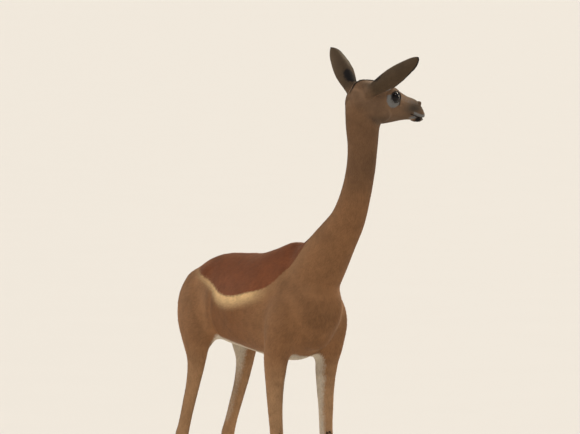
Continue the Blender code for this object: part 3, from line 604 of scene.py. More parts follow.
def body_markings(points):
    """The body's markings as signed distances into each mark."""
    x, y, z = body_axes(points)
    edge = along_table(x, SADDLE_EDGE)
    slope = (along_table(x + 0.005, SADDLE_EDGE) - along_table(x - 0.005, SADDLE_EDGE)) / 0.01
    saddle = (z - edge) / np.sqrt(1 + slope**2)
    belly = 0.020 - (z - np.interp(x, *np.array(BELLY_LINE).T))
    belly = np.minimum(belly, 0.058 - np.abs(y))
    belly = np.minimum(belly, 0.8 * (0.262 - x))
    belly = np.where((x > -0.36) & (z > 0.50), belly, -0.05)
    top = np.where(x > 0, 0.585, 0.68)
    inner = np.where(z < top, LEG_LINE - 0.014 - np.abs(y), -0.05) - 0.35 * np.maximum(0, 0.36 - z)
    inner = inner - 0.6 * np.maximum(0, z - top + 0.06) - np.maximum(0, x - 0.262)
    rump = ellipse(y, z, (0.0, 0.715), (0.034, 0.075)) - 0.8 * np.maximum(0, x + 0.352)
    return saddle, np.maximum.reduce([belly, inner, rump]), knee_depth(points)


def crown_depth(points):
    """Signed distance into the black crest on the crown."""
    forward, left, up = head_axes(points)
    half = np.interp(forward, (-0.122, -0.10, -0.06, -0.035, -0.02), (0.001, 0.005, 0.010, 0.008, -0.004))
    return np.where(up > 0.015, half - np.abs(left), -0.01)


def knee_depth(points):
    """Signed depth into the dark brushes on the front of the knees."""
    x, y, z = body_axes(points)
    knee = KNEE_FRONT
    r = ((x - knee.x) / 0.020) ** 2 + ((np.abs(y) - knee.y) / 0.013) ** 2 + ((z - knee.z) / 0.026) ** 2
    return (1 - np.sqrt(r)) * 0.012


def face_markings(points):
    """The face's markings as signed distances into each mark, and the share of its dark muzzle, with the dark
    nose bridge deepened as painted shade and painted shade under the jaw.
    """
    forward, left, up = head_axes(points)
    side = np.abs(left)
    turn = np.arctan2(up, forward)
    reach = 0.0245 + 0.0042 * np.cos(turn - math.radians(235))
    reach = reach - 0.0030 * smooth(0.3, 1.2, np.sin(turn) + np.cos(turn))
    ring = reach - np.hypot(forward - 0.0025, up)
    # Painted shade: the white ring is taken away above the eye, where the brow's shade falls.
    ring = np.where(side > 0.020, ring - 0.012 * smooth(0.25, 0.85, np.sin(turn)), -0.01)
    stripe = ellipse(forward, up + 0.26 * forward, (0.062, 0.0060), (0.029, 0.0042))
    stripe = np.minimum(np.where((side > 0.005) & (up > -0.03), stripe, -0.01), -0.0011)
    line = along_table(forward, MOUTH_LINE)
    lip = np.minimum(0.0040 - np.abs(up - line - 0.0058), forward - 0.080)
    lip_front = np.minimum(forward - 0.1105, -0.0495 - up)
    chin_patch = ellipse(forward, up, (0.081, -0.0572), (0.0115, 0.0042))
    chin_tip = ellipse(forward, up, (0.099, -0.0722), (0.018, 0.0046))
    white = np.maximum.reduce([ring, stripe, lip, lip_front, chin_patch, chin_tip])
    tear = 0.6 * ellipse(forward, up, (0.0222, -0.0130), (0.0040, 0.0080))
    tear = np.where(side > 0.012, tear, -0.01)
    crown = crown_depth(points)
    mouth = np.minimum(0.0014 - np.abs(up - line), forward - 0.067)
    nostril = ellipse(forward + 0.4 * up, up, (NOSTRIL[0] - 0.0107, NOSTRIL[2]), (0.0068, 0.0034))
    nostril = np.where((forward > 0.100) & (side > 0.004), nostril, -0.01)
    heights, halves = (-0.056, -0.046, -0.036, -0.028, -0.020), (0.0006, 0.0010, 0.0030, 0.0056, 0.0010)
    pad = np.minimum(np.interp(up, heights, halves) - side, forward - 0.1125)
    chin = ellipse(forward, up, (0.099, -0.0630), (0.0095, 0.0066))
    dark = np.maximum.reduce([tear, crown, mouth, nostril, pad, np.where(up < line, 0.6 * chin, -0.01)])
    for name in SIDES:
        share, distance = opening_share(points, name)
        lid = (1.12 - share) * 0.014
        dark = np.maximum(dark, np.where(distance < EYE_RADIUS + 0.010, lid, -0.01))
    off = ((forward - 0.080) / 0.035) ** 2 + ((up + 0.032) / 0.0165) ** 2
    muzzle = 0.86 * np.exp(-(off**1.2))
    # The real dark nose bridge, deepened as painted shade along its top.
    top = smooth(-0.01, 0.03, forward) * np.exp(-((side / 0.0120) ** 2)) * smooth(-0.040, -0.030, up)
    # Painted shade on the underside of the jaw.
    painted_jaw_shade = 0.42 * smooth(-0.040, -0.062, up) * smooth(0.080, 0.060, forward)
    tip = 0.65 * smooth(0.106, 0.114, forward) * smooth(-0.045, -0.036, up)
    return white, dark, np.clip(np.maximum(muzzle, tip) + 0.60 * top + painted_jaw_shade, 0, 1)


def markings(points):
    """All the numbers that the skin and coat materials read."""
    on_head = smooth(-0.035, 0.035, beyond(points, HEAD_BASE))
    saddle, pale, dark = body_markings(points)
    white, face_dark, muzzle = face_markings(points)
    forward, left, up = head_axes(points)
    throat = 0.012 - np.abs(left) - 2.0 * np.maximum(0, up + 0.060)
    throat = np.where((forward > 0.0) & (forward < 0.075), throat, -0.05)
    head = on_head > 0.5
    x, _, z = body_axes(points)
    flank = smooth(-0.19, -0.12, x) * (1 - smooth(0.0, 0.20, x)) * smooth(0.48, 0.62, z)
    return {
        "saddle": np.where(head, -0.2, saddle),
        "pale": np.where(head, throat, pale),
        "dark": np.where(head, face_dark, dark),
        "white": np.where(head, white, -0.05),
        "head_share": on_head,
        "band_share": band_share(points),
        "leg_share": 1 - smooth(0.46, 0.62, z),
        "flank_share": flank * (1 - on_head),
        "ear_share": sum(ear_share(points, side) for side in SIDES),
        # Painted shadow of the head: the upper neck is darkened towards the muzzle's colour.
        "muzzle_share": np.where(head, muzzle, 0.0) + 0.42 * smooth(0.98, 1.13, z) * (1 - on_head),
    }


def band_share(points):
    """The pale line below the saddle: broad on the flank, a thin line on the rump."""
    x = body_axes(points)[0]
    breadth = 0.020 + 0.024 * smooth(-0.17, -0.06, x)
    strength = 0.04 + 0.86 * smooth(-0.33, -0.09, x) * (1 - smooth(0.08, 0.23, x))
    return strength * smooth(-1.0, 0.0, (body_markings(points)[0] + 0.002) / breadth)


def ear_axes(side):
    """Root of an ear with its length, opening and width directions."""
    aim = head_vector(*EAR_AIM[side]).normalized()
    opening = square_to(head_vector(*EAR_OPENING[side]), aim)
    forward, left, up = EAR_ROOT
    return head_point(forward, SIDES[side] * left, up), aim, opening, aim.cross(opening)


def node_group(name, kind, inputs, output):
    """A new group with its named inputs, each a socket kind and a default, and its one output."""
    tree = bpy.data.node_groups.new(name, kind)
    for label, (socket, default) in inputs.items():
        made = tree.interface.new_socket(label, in_out="INPUT", socket_type="NodeSocket" + socket)
        if default is not None:
            made.default_value = default
    label, socket = output
    tree.interface.new_socket(label, in_out="OUTPUT", socket_type="NodeSocket" + socket)
    return tree, node(tree, "NodeGroupInput").outputs


def connect(tree, made, inputs):
    """A node with its inputs set, each to a value or by a link from a socket."""
    for key, value in inputs.items():
        if isinstance(value, bpy.types.NodeSocket):
            tree.links.new(value, made.inputs[key])
        else:
            made.inputs[key].default_value = value
    return made


def node(tree, kind, inputs=None, **settings):
    """A new node with its settings and inputs."""
    made = tree.nodes.new(kind)
    for name, value in settings.items():
        setattr(made, name, value)
    return connect(tree, made, inputs or {})


def math_node(tree, operation, a, b=0.0):
    return node(tree, "ShaderNodeMath", {0: a, 1: b}, operation=operation).outputs[0]


def noise(tree, place, scale, detail=3.0):
    return node(tree, "ShaderNodeTexNoise", {0: place, 2: scale, 3: detail}).outputs[0]


def object_place(tree):
    return node(tree, "ShaderNodeTexCoord").outputs["Object"]


def vector_of(tree, *parts):
    return node(tree, "ShaderNodeCombineXYZ", dict(enumerate(parts))).outputs[0]


def parts_of(tree, vector):
    return node(tree, "ShaderNodeSeparateXYZ", {0: vector}).outputs


def lightened(tree, colour, amount):
    """A colour made lighter or darker."""
    return node(tree, "ShaderNodeHueSaturation", {2: amount, 4: colour}).outputs[0]


def ramp(tree, value, low, high, to_low=0.0, to_high=1.0):
    """A smooth rise from one value to another."""
    inputs = {0: value, 1: low, 2: high, 3: to_low, 4: to_high}
    return node(tree, "ShaderNodeMapRange", inputs, interpolation_type="SMOOTHSTEP").outputs[0]


def blended(tree, share, a, b):
    """Colour a turning into colour b."""
    return node(tree, "ShaderNodeMix", {0: share, 6: a, 7: b}, data_type="RGBA").outputs[2]


def field(tree, name, output="Fac"):
    """A number or vector kept on the mesh."""
    return node(tree, "ShaderNodeAttribute", attribute_name=name).outputs[output]


COAT_COLOURS = ("tan", "saddle", "flank", "band", "leg", "head", "ear", "muzzle", "belly", "white", "dark")


@functools.cache
def markings_group():
    """The coat's colour, from the markings and painted shade kept on the mesh and a little noise."""
    settings = bpy.context.scene.gerenuk_coat
    inputs = {colour: ("Color", tuple(getattr(settings, colour))) for colour in COAT_COLOURS}
    tree, given = node_group("Gerenuk markings", "ShaderNodeTree", inputs, ("Color", "Color"))
    calc, share, rise = (functools.partial(f, tree) for f in (math_node, field, ramp))
    place = object_place(tree)
    head = share("head_share")
    amount = rise(head, 0.0, 1.0, 0.010, 0.0026)
    ragged = calc("MULTIPLY", calc("SUBTRACT", noise(tree, place, 160.0), 0.5), amount)
    saddle, pale, white, dark = (calc("ADD", share(m), ragged) for m in ("saddle", "pale", "white", "dark"))
    layers = {
        "flank": calc("MULTIPLY", rise(saddle, -0.012, -0.046), share("flank_share")),
        "band": share("band_share"),
        "saddle": rise(saddle, -0.003, 0.003),
        "leg": share("leg_share"),
        "belly": rise(pale, -0.007, 0.007),
        "head": head,
        "muzzle": share("muzzle_share"),
        "ear": share("ear_share"),
        "white": rise(white, -0.0024, 0.0024),
        "dark": rise(dark, -0.0014, 0.0014),
    }
    coat = given["tan"]
    for colour, amount in layers.items():
        coat = blended(tree, amount, coat, given[colour])
    broad = calc("MULTIPLY", noise(tree, place, 9.0), 0.6)
    mottle = calc("ADD", broad, calc("MULTIPLY", noise(tree, place, 38.0, 2.0), 0.4))
    node(tree, "NodeGroupOutput", {0: lightened(tree, coat, rise(mottle, 0.30, 0.70, 0.84, 1.14))})
    return tree


@functools.cache
def fur_group():
    """A fine streaked relief for short hair that lies flat."""
    inputs = {"Scale": ("Float", 900.0)}
    tree, given = node_group("Gerenuk short hair", "ShaderNodeTree", inputs, ("Height", "Float"))
    node(tree, "NodeGroupOutput", {0: noise(tree, object_place(tree), given["Scale"], 2.0)})
    return tree


def blank_material(name):
    """A material and its node tree."""
    material = bpy.data.materials.new(name)
    material.use_nodes = True
    return material, material.node_tree


def shaded(material, inputs):
    """The material with its shader's inputs set or linked."""
    tree = material.node_tree
    connect(tree, tree.nodes["Principled BSDF"], inputs)
    return material


def bump(tree, strength, distance, height):
    return node(tree, "ShaderNodeBump", {0: strength, 1: distance, 3: height}).outputs[0]


def placed_group(tree, group):
    """The output of a node group that is put in a material."""
    return node(tree, "ShaderNodeGroup", node_tree=group).outputs[0]


@functools.cache
def skin_material():
    """Bare skin in the coat's markings, under the short hair's relief."""
    material, tree = blank_material("gerenuk_skin")
    colour = placed_group(tree, markings_group())
    relief = bump(tree, 0.5, 0.0006, placed_group(tree, fur_group()))
    fixed = {"Roughness": 0.62, "Specular IOR Level": 0.12}
    return shaded(material, {"Base Color": colour, "Normal": relief, **fixed})


@functools.cache
def coat_material():
    """Hair in the markings' colours, darker at the root, each tuft a little different."""
    material, tree = blank_material("gerenuk_coat")
    colour = placed_group(tree, markings_group())
    along = parts_of(tree, field(tree, "strand", "Vector"))[1]
    tint = ramp(tree, field(tree, "tint"), 0.0, 1.0, 0.84, 1.12)
    shade = math_node(tree, "MULTIPLY", ramp(tree, along, 0.0, 1.0, 0.95, 1.04), tint)
    fixed = {
        "Roughness": 0.58,
        "Specular IOR Level": 0.12,
        "Sheen Weight": 0.18,
        "Sheen Roughness": 0.35,
        "Sheen Tint": (1.0, 0.70, 0.42, 1.0),
    }
    return shaded(material, {"Base Color": lightened(tree, colour, shade), **fixed})


def eye_material():
    """A dark brown iris with a level pupil, wet and smooth."""
    material, tree = blank_material("gerenuk_eye")
    calc = functools.partial(math_node, tree)
    fore, up, _ = parts_of(tree, field(tree, "gaze", "Vector"))
    round_off = calc("SQRT", calc("ADD", calc("POWER", fore, 2.0), calc("POWER", up, 2.0)))
    wide, high = (calc("POWER", calc("DIVIDE", at, half), 2.0) for at, half in ((fore, 0.40), (up, 0.20)))
    outside_pupil = ramp(tree, calc("ADD", wide, high), 0.85, 1.15)
    turn = calc("MULTIPLY", calc("ARCTAN2", up, fore), 6.0)
    streaks = noise(tree, vector_of(tree, turn, calc("MULTIPLY", round_off, 2.0)), 3.0)
    iris = blended(tree, streaks, (0.0110, 0.0050, 0.0026, 1.0), (0.0045, 0.0024, 0.0016, 1.0))
    colour = blended(tree, outside_pupil, (0.0012, 0.0010, 0.0010, 1.0), iris)
    colour = blended(tree, ramp(tree, round_off, 0.60, 0.72), colour, (0.0050, 0.0035, 0.0030, 1.0))
    return shaded(material, {"Base Color": colour, "Roughness": 0.05, "IOR": 1.30})


def wet_skin_material():
    """Black bare skin of the lid rims."""
    material, tree = blank_material("gerenuk_lid")
    grain = noise(tree, object_place(tree), 700.0)
    colour = blended(tree, grain, (0.009, 0.007, 0.006, 1.0), (0.020, 0.015, 0.012, 1.0))
    fixed = {"Roughness": 0.42, "Specular IOR Level": 0.30}
    return shaded(material, {"Base Color": colour, "Normal": bump(tree, 0.4, 0.0004, grain), **fixed})


def horn_material():
    """Black horn with growth rings, worn paler and rougher towards the ground."""
    material, tree = blank_material("gerenuk_horn")
    place = object_place(tree)
    flattened = node(tree, "ShaderNodeMapping", {0: place, 3: (0.15, 0.15, 1.0)}).outputs[0]
    rings = noise(tree, flattened, 420.0, 2.0)
    low = ramp(tree, parts_of(tree, place)[2], 0.014, 0.0)
    worn = math_node(tree, "MULTIPLY", low, noise(tree, place, 900.0))
    colour = blended(tree, rings, (0.018, 0.015, 0.013, 1.0), (0.050, 0.041, 0.034, 1.0))
    colour = blended(tree, worn, colour, (0.150, 0.125, 0.100, 1.0))
    rough = ramp(tree, worn, 0.0, 0.6, 0.36, 0.70)
    relief = bump(tree, 0.5, 0.0006, rings)
    return shaded(material, {"Base Color": colour, "Roughness": rough, "Normal": relief})


@functools.cache
def tufts_tree():
    """Short flat tufts spread over a surface, rooted in it and lying its way."""
    inputs = {"Surface": ("Geometry", None)}
    inputs |= {label: ("Float", default) for label, default in TUFT_INPUTS.items()}
    inputs |= {"Seed": ("Int", 1), "Material": ("Material", None)}
    tree, given = node_group("Gerenuk tufts", "GeometryNodeTree", inputs, ("Tufts", "Geometry"))
    add, calc, vector = (functools.partial(f, tree) for f in (node, math_node, vector_of))

    def times(*values):
        return functools.reduce(functools.partial(calc, "MULTIPLY"), values)

    def less(a, b):
        return calc("SUBTRACT", a, b)

    def named(label, kind="FLOAT"):
        return add("GeometryNodeInputNamedAttribute", {0: label}, data_type=kind).outputs[0]

    def stored(geometry, label, value, kind, domain="POINT"):
        values = {0: geometry, 2: label, 3: value}
        return add("GeometryNodeStoreNamedAttribute", values, data_type=kind, domain=domain).outputs[0]

    def moved(geometry, values):
        return add("GeometryNodeSetPosition", {0: geometry, **values}).outputs[0]

    def scaled(direction, amount):
        return add("ShaderNodeVectorMath", {0: direction, 3: amount}, operation="SCALE").outputs[0]

    def chance(low, high, offset):
        """A random number for each tuft."""
        seed = calc("ADD", given["Seed"], offset)
        return add("FunctionNodeRandomValue", {2: low, 3: high, 8: seed}, data_type="FLOAT").outputs[1]

    size = named("hair_size")
    density = times(given["Density"], named("hair_density"))
    places = {0: given["Surface"], 4: density, 6: given["Seed"]}
    roots = add("GeometryNodeDistributePointsOnFaces", places)
    normal = roots.outputs["Normal"]
    points = moved(roots.outputs[0], {3: scaled(normal, times(given["Sink"], size, -1.0))})
    points = stored(points, "tint", chance(0.0, 1.0, 11), "FLOAT")

    grid = add("GeometryNodeMeshGrid", {0: 1.0, 1: 1.0, 2: 2, 3: 3}).outputs[0]
    across, along, _ = parts_of(tree, add("GeometryNodeInputPosition").outputs[0])
    part = calc("ADD", along, 0.5)
    bulge = calc("POWER", calc("DIVIDE", less(part, 0.4), 0.6), 2.0)
    arch = times(part, less(1.0, part), times(given["Arch"], 4.0))
    blade = moved(grid, {2: vector(times(across, less(1.0, times(bulge, 0.85))), part, arch)})
    blade = stored(blade, "strand", vector(across, along), "FLOAT_VECTOR")

    align = "FunctionNodeAlignRotationToVector"
    facing = add(align, {2: normal}, axis="Z").outputs[0]
    laid = add(align, {0: facing, 2: named("lie", "FLOAT_VECTOR")}, axis="Y", pivot_axis="Z").outputs[0]
    lift = times(given["Lift"], chance(0.45, 1.5, 21))
    yaw = times(given["Spread"], chance(-1.0, 1.0, 31))
    tilt = add("FunctionNodeEulerToRotation", {0: vector(lift, 0.0, yaw)}).outputs[0]
    turned = add("FunctionNodeRotateRotation", {0: laid, 1: tilt}, rotation_space="LOCAL").outputs[0]
    length = times(given["Length"], size, chance(0.70, 1.25, 41))
    slim = calc("ADD", times(size, 0.70), 0.30)
    width = times(given["Width"], slim, chance(0.75, 1.2, 51))
    copies = {0: points, 2: blade, 5: turned, 6: vector(width, length, length)}
    placed = add("GeometryNodeInstanceOnPoints", copies).outputs[0]
    real = add("GeometryNodeRealizeInstances", {0: placed}).outputs[0]
    patch = scaled(named("strand", "FLOAT_VECTOR"), given["Patch"])
    summed = {0: named("root_place", "FLOAT_VECTOR"), 1: patch}
    map_place = add("ShaderNodeVectorMath", summed, operation="ADD").outputs[0]
    mapped = stored(real, "OFBake", map_place, "FLOAT2", "CORNER")
    for label in ("lie", "root_place", "hair_density", "hair_size"):
        mapped = add("GeometryNodeRemoveAttribute", {0: mapped, 1: label}).outputs[0]
    smoothed = add("GeometryNodeSetShadeSmooth", {0: mapped}).outputs[0]
    finished = add("GeometryNodeSetMaterial", {0: smoothed, 2: given["Material"]}).outputs[0]
    add("NodeGroupOutput", {0: finished})
    return tree


TUFT_INPUTS = {
    "Density": 238000.0,
    "Length": 0.0125,
    "Width": 0.00140,
    "Lift": 0.066,
    "Spread": 0.24,
    "Arch": 0.022,
    "Sink": 0.0004,
    "Patch": 0.003,
}


def unwrapped(obj, axis, first, second):
    """Unrolls a surface about its own middle line, as places in the unit square on each corner."""
    mesh = obj.data
    points = points_of(mesh)
    axis, first, second = (np.array(v, float) for v in (axis, first, second))
    run = points @ axis
    bins = np.linspace(run.min(), run.max(), MAP_SLICES + 1)
    index = np.clip(np.digitize(run, bins) - 1, 0, MAP_SLICES - 1)
    filled = np.bincount(index, minlength=MAP_SLICES)
    used = filled > 0
    line = [np.bincount(index, points[:, k], MAP_SLICES) / np.maximum(filled, 1) for k in range(3)]
    steps = (bins[:-1] + bins[1:]) / 2
    offset = points - np.stack([np.interp(run, steps[used], row[used]) for row in line], axis=1)
    turn = np.arctan2(offset @ second, offset @ first)
    corners = numbers_of(mesh.loops, "vertex_index", kind=int)
    starts = numbers_of(mesh.polygons, "loop_start", kind=int)
    lead = np.repeat(turn[corners[starts]], numbers_of(mesh.polygons, "loop_total", kind=int))
    spun = turn[corners]
    spun = spun - 2 * np.pi * np.round((spun - lead) / (2 * np.pi))
    across = 0.03 + 0.94 * np.clip((spun + np.pi) / (2 * np.pi), -0.02, 1.02)
    down = 0.02 + 0.96 * (run[corners] - run.min()) / (run.max() - run.min())
    store(mesh, {"root_place": np.stack([across, down, np.zeros_like(down)], axis=1)}, "CORNER")


def cut_out(source, name, wanted):
    """A copy of a surface with only the faces whose middles are wanted."""
    obj = new_object(name, source.data.copy())
    shape, keep = faces_of(obj.data, wanted)
    bmesh.ops.delete(shape, geom=[f for f, k in zip(shape.faces, keep) if not k], context="FACES")
    shape.to_mesh(obj.data)
    shape.free()
    if not len(obj.data.polygons):
        raise RuntimeError("no skin was found for " + name)
    return obj


def tufted(obj, seed, **values):
    """The surface turned into tufts of hair, dressed in the coat's material."""
    tree = tufts_tree()
    modifier = obj.modifiers.new("tufts", "NODES")
    modifier.node_group = tree
    chosen = {**TUFT_INPUTS, **values, "Seed": seed, "Material": coat_material()}
    for item in tree.interface.items_tree:
        if item.in_out == "INPUT" and item.name in chosen:
            modifier[item.identifier] = chosen[item.name]
    return baked(obj)


def with_hair(obj, coat_name, solid, axes, seed, **values):
    """Dresses the skin of a small part, with a coat that is grown from a copy of it."""
    coat = new_object(coat_name, obj.data.copy())
    unwrapped(coat, *axes)
    dressed(tufted(coat, seed, Length=0.0120, Lift=0.08, Spread=0.14, **values))
    dressed(obj, [solid], skin_material())


def nose_pad(points):
    """Where the nose is bare: round the nostrils, between them and along the lips."""
    forward, left, up = head_axes(points)
    wing = ((forward - NOSTRIL[0] + 0.001) / 0.0095) ** 2 + ((up - NOSTRIL[2]) / 0.0068) ** 2 < 1
    between_them = (forward > 0.1150) & (np.abs(left) < 0.0055) & (up > -0.042)
    lips = (np.abs(up - along_table(forward, MOUTH_LINE)) < 0.0013) & (forward > 0.068)
    return (wing & (np.abs(left) > 0.003) | between_them | lips) & (up > -0.13) & (np.abs(left) < 0.05)


def skin_regions(points):
    """Which part of the body each point belongs to."""
    x, y, z = body_axes(points)
    head = beyond(points, HEAD_BASE) > 0
    neck = ~head & (beyond(points, NECK_BASE) > 0)
    low = ~head & ~neck & (z < 0.575) & ~((np.abs(y) < 0.045) & (z > 0.55))
    trunk = ~head & ~neck & ~low
    regions = {"head": head, "neck": neck}
    fore = x >= -0.03
    parts = {"shoulder": trunk & fore, "rump": trunk & ~fore}
    parts |= {"foreleg": low & (x > 0), "hindleg": low & (x < 0)}
    for name, part in parts.items():
        regions |= {name + "_left": part & (y >= 0), name + "_right": part & (y < 0)}
    return regions


def region_axes(region):
    """The long direction of a part of the body, and two across it, that its map is unrolled about."""
    if region == "head":
        return tuple(HEAD_FORWARD), (0, 0, -1), tuple(HEAD_LEFT)
    if region == "neck":
        return (0, 0, 1), (-1, 0, 0), (0, 1, 0)
    if "leg" in region:
        return LEG_AXES
    return (1, 0, 0), (0, 1 if region.endswith("left") else -1, 0), (0, 0, 1)


LEG_AXES = ((0, 0, 1), (1, 0, 0), (0, 1, 0))


class GERENUK_OT_skin(bpy.types.Operator):
    """Fuse the flesh solids into one skin with lids, lips, nostrils and folds"""

    bl_idname = "gerenuk.skin"
    bl_label = "Skin"

    def execute(self, context):
        settings = context.scene.gerenuk_skin
        obj = fused_solids(settings.voxel)
        mesh = obj.data
        x, y, z = body_axes(points_of(mesh))
        relaxed(mesh, settings.rounds, 0.45 + 0.55 * smooth(0.28, 0.60, z))
        elbow = np.exp(-(((x - 0.23) / 0.09) ** 2) - ((z - 0.65) / 0.13) ** 2) * smooth(0.02, 0.05, np.abs(y))
        relaxed(mesh, 320, elbow)
        x, y, z = body_axes(points_of(mesh))
        stifle = np.abs(x + 0.148 - 0.10 * (z - 0.69)) / 0.013
        reach = smooth(0.60, 0.64, z) * (1 - smooth(0.72, 0.78, z)) * smooth(0.045, 0.07, np.abs(y))
        groove = 0.0030 * reach * np.exp(-(stifle**2))
        put_points(mesh, points_of(mesh) - normals_of(mesh) * groove[:, None])
        finer_faces(obj, lambda p: beyond(p, HEAD_BASE) > 0.004)
        finer_faces(obj, lambda p: (beyond(p, HEAD_BASE) > 0.0) & (face_weight(p) > 0.5))
        finer_faces(obj, lambda p: (beyond(p, HEAD_BASE) > 0.0) & near_features(p))
        mesh = obj.data
        points = points_of(mesh)
        on_head = smooth(0.0, 0.02, beyond(points, HEAD_BASE))
        away = smooth(0.024, 0.030, eye_gap(points)) * smooth(0.006, 0.012, nostril_gap(points))
        put_points(mesh, on_solids(points, on_head * away))
        relaxed(mesh, settings.head_rounds, smooth(-0.03, 0.01, beyond(points, HEAD_BASE)))
        relaxed(mesh, 60, 1 - smooth(0.008, 0.014, nostril_gap(points)))
        points = points_of(mesh)
        depth = settings.coat_depth * hair_size(points)
        put_points(mesh, points - normals_of(mesh) * depth[:, None])
        put_points(mesh, shaped_round_eyes(points_of(mesh)))
        put_points(mesh, creases(points_of(mesh), normals_of(mesh)))
        points = points_of(mesh)
        size = hair_size(points)
        store(mesh, markings(points))
        store(mesh, {"hair_size": size, "lie": hair_lie(points), "hair_density": size**HAIR_PACKING})
        dressed(obj, FLESH, skin_material())
        return {"FINISHED"}


class GERENUK_OT_coat(bpy.types.Operator):
    """Grow the short coat over the skin, one piece for each part of the body"""

    bl_idname = "gerenuk.coat"
    bl_label = "Coat"

    def density(self, points):
        """How closely the hair stands: small hair closest, and none on the nose pad and the eyes."""
        bare = nose_pad(points)
        for side in SIDES:
            share, distance = opening_share(points, side)
            bare = bare | (share < 1.08) & (distance < EYE_RADIUS + 0.012)
        return np.where(bare, 0.0, hair_size(points) ** HAIR_PACKING)

    def execute(self, context):
        settings = context.scene.gerenuk_coat
        skin = bpy.data.objects["gerenuk_skin"]
        sizes = {name.title(): getattr(settings, name) for name in ("density", "length", "width", "lift")}
        for seed, region in enumerate(skin_regions(np.zeros((1, 3))), 1):
            obj = cut_out(skin, "coat_" + region, lambda p, r=region: skin_regions(p)[r])
            unwrapped(obj, *region_axes(region))
            store(obj.data, {"hair_density": self.density(points_of(obj.data))})
            dressed(tufted(obj, seed, **sizes))
        return {"FINISHED"}


class GERENUK_OT_ears(bpy.types.Operator):
    """Build both ears as thin cups with a hairy inside and a fringed edge"""

    bl_idname = "gerenuk.ears"
    bl_label = "Ears"

    rings = 46
    steps = 22

    def half_width(self, part):
        """Half the ear's width, rounded off at the tip."""
        half = float(np.interp(min(part, 0.78), EAR_PARTS, EAR_HALVES))
        return half * max(0.0, 1 - max(0.0, (part - 0.78) / 0.2201) ** 1.6) ** 0.60

    def cup_ring(self, side, part):
        """Outer arc then inner arc of the ear at a part of its length, with each point's fold."""
        root, aim, opening, width = ear_axes(side)
        half = self.half_width(part)
        fold = math.radians(float(np.interp(part, EAR_FOLD_PARTS, EAR_FOLDS)))
        radius = half / math.sin(min(fold, math.pi / 2))
        wall = min(0.0030 * (1 - 0.5 * part), radius * 0.5)
        sunk = 0.0012 + 0.0026 * max(0.0, 1 - (part - 0.02) / 0.13)
        centre = root + aim * (EAR_LENGTH * part) - opening * (EAR_BOW * math.sin(math.pi * part))
        middle = centre + opening * radius
        far = radius - min(sunk, radius * 0.5)
        outer, inner = [], []
        for k in range(self.steps + 1):
            share = 2 * k / self.steps - 1
            turn = fold * share
            spoke = width * math.sin(turn) - opening * math.cos(turn)
            edge = 1 - 0.72 * abs(share) ** 4
            ridge = 0.0007 * math.cos(share * 9.0) * math.sin(math.pi * min(1.0, part * 1.1))
            near = far - wall * edge + ridge * edge
            outer.append((middle + spoke * far, share, 0.0))
            inner.append((middle + spoke * near, share, 1.0))
        return outer + inner[::-1]

    def fields(self, side, rows):
        """The markings and hair of an ear's points, given as (part, share, inside)."""
        part, share, inside = rows.T
        within = inside > 0.5
        _, aim, _, width = ear_axes(side)
        medial = 1.0 if width.dot(HEAD_LEFT) * SIDES[side] < 0 else -1.0
        half = np.array([self.half_width(p) for p in part])
        to_edge = (1 - np.abs(share)) * half * 1.4
        to_tip = (1 - part) * EAR_LENGTH
        outer_base = (share * medial < 0) & (part < 0.37)
        rim = 0.0027 + 0.0026 * smooth(0.50, 0.90, part) - to_edge - 0.02 * np.maximum(0, 0.35 - part)
        rim = rim - np.where(outer_base, 0.02, 0.0)
        pale_rim = np.where(outer_base, 0.0050 - to_edge, -0.05)
        spot = 0.45 * ellipse(part * EAR_LENGTH, share * medial * half * 1.4, *EAR_SPOT[side])
        outside_dark = np.maximum.reduce([0.0044 - to_tip, rim, spot])
        lines = 0.0016 - np.abs(np.abs(share) - 0.36) * half - 0.01 * np.maximum(0, part - 0.86)
        inside_dark = np.maximum(0.006 - to_tip, 0.6 * np.maximum(lines, 0.0012 - np.abs(share) * half))
        size = np.where(within, 1.25 - 0.85 * np.abs(share) ** 3, 0.34 - 0.12 * np.abs(share) ** 4)
        lean = np.where(within, -0.30, -0.05) * share
        covered = (part > 0.05) & (part < 0.985)
        even = {"saddle": -0.2, "pale": -0.05, "head_share": 1.0, "ear_share": 1.0}
        even |= {"band_share": 0.0, "flank_share": 0.0, "leg_share": 0.0, "muzzle_share": 0.0}
        return {
            **{name: np.full(len(part), value) for name, value in even.items()},
            "dark": np.where(within, inside_dark, outside_dark),
            "white": np.where(within, 0.01, pale_rim),
            "hair_size": size * np.interp(part, (0.0, 0.25, 0.5, 0.85, 1.0), (1.3, 1.1, 0.9, 0.55, 0.25)),
            "hair_density": np.where(covered, np.where(within, 0.55, 2.0), 0.0),
            "lie": np.tile(np.array(aim), (len(rows), 1)) + np.outer(lean, np.array(width)),
        }

    def execute(self, context):
        parts = [1.0 - 0.98 * (1 - k / self.rings) ** 1.35 for k in range(self.rings + 1)]
        for seed, side in enumerate(SIDES, 41):
            shape = bmesh.new()
            loops, rows = [], []
            for part in parts:
                ring = self.cup_ring(side, part)
                loops.append([shape.verts.new(p) for p, _, _ in ring])
                rows += [(part, share, inside) for _, share, inside in ring]
            close_tube(shape, loops)
            bmesh.ops.recalc_face_normals(shape, faces=shape.faces)
            obj = object_from("ear_skin_" + side, shape)
            store(obj.data, self.fields(side, np.array(rows)))
            _, aim, opening, width = ear_axes(side)
            with_hair(obj, "coat_ear_" + side, "ear_" + side, (aim, -opening, width), seed)
        return {"FINISHED"}


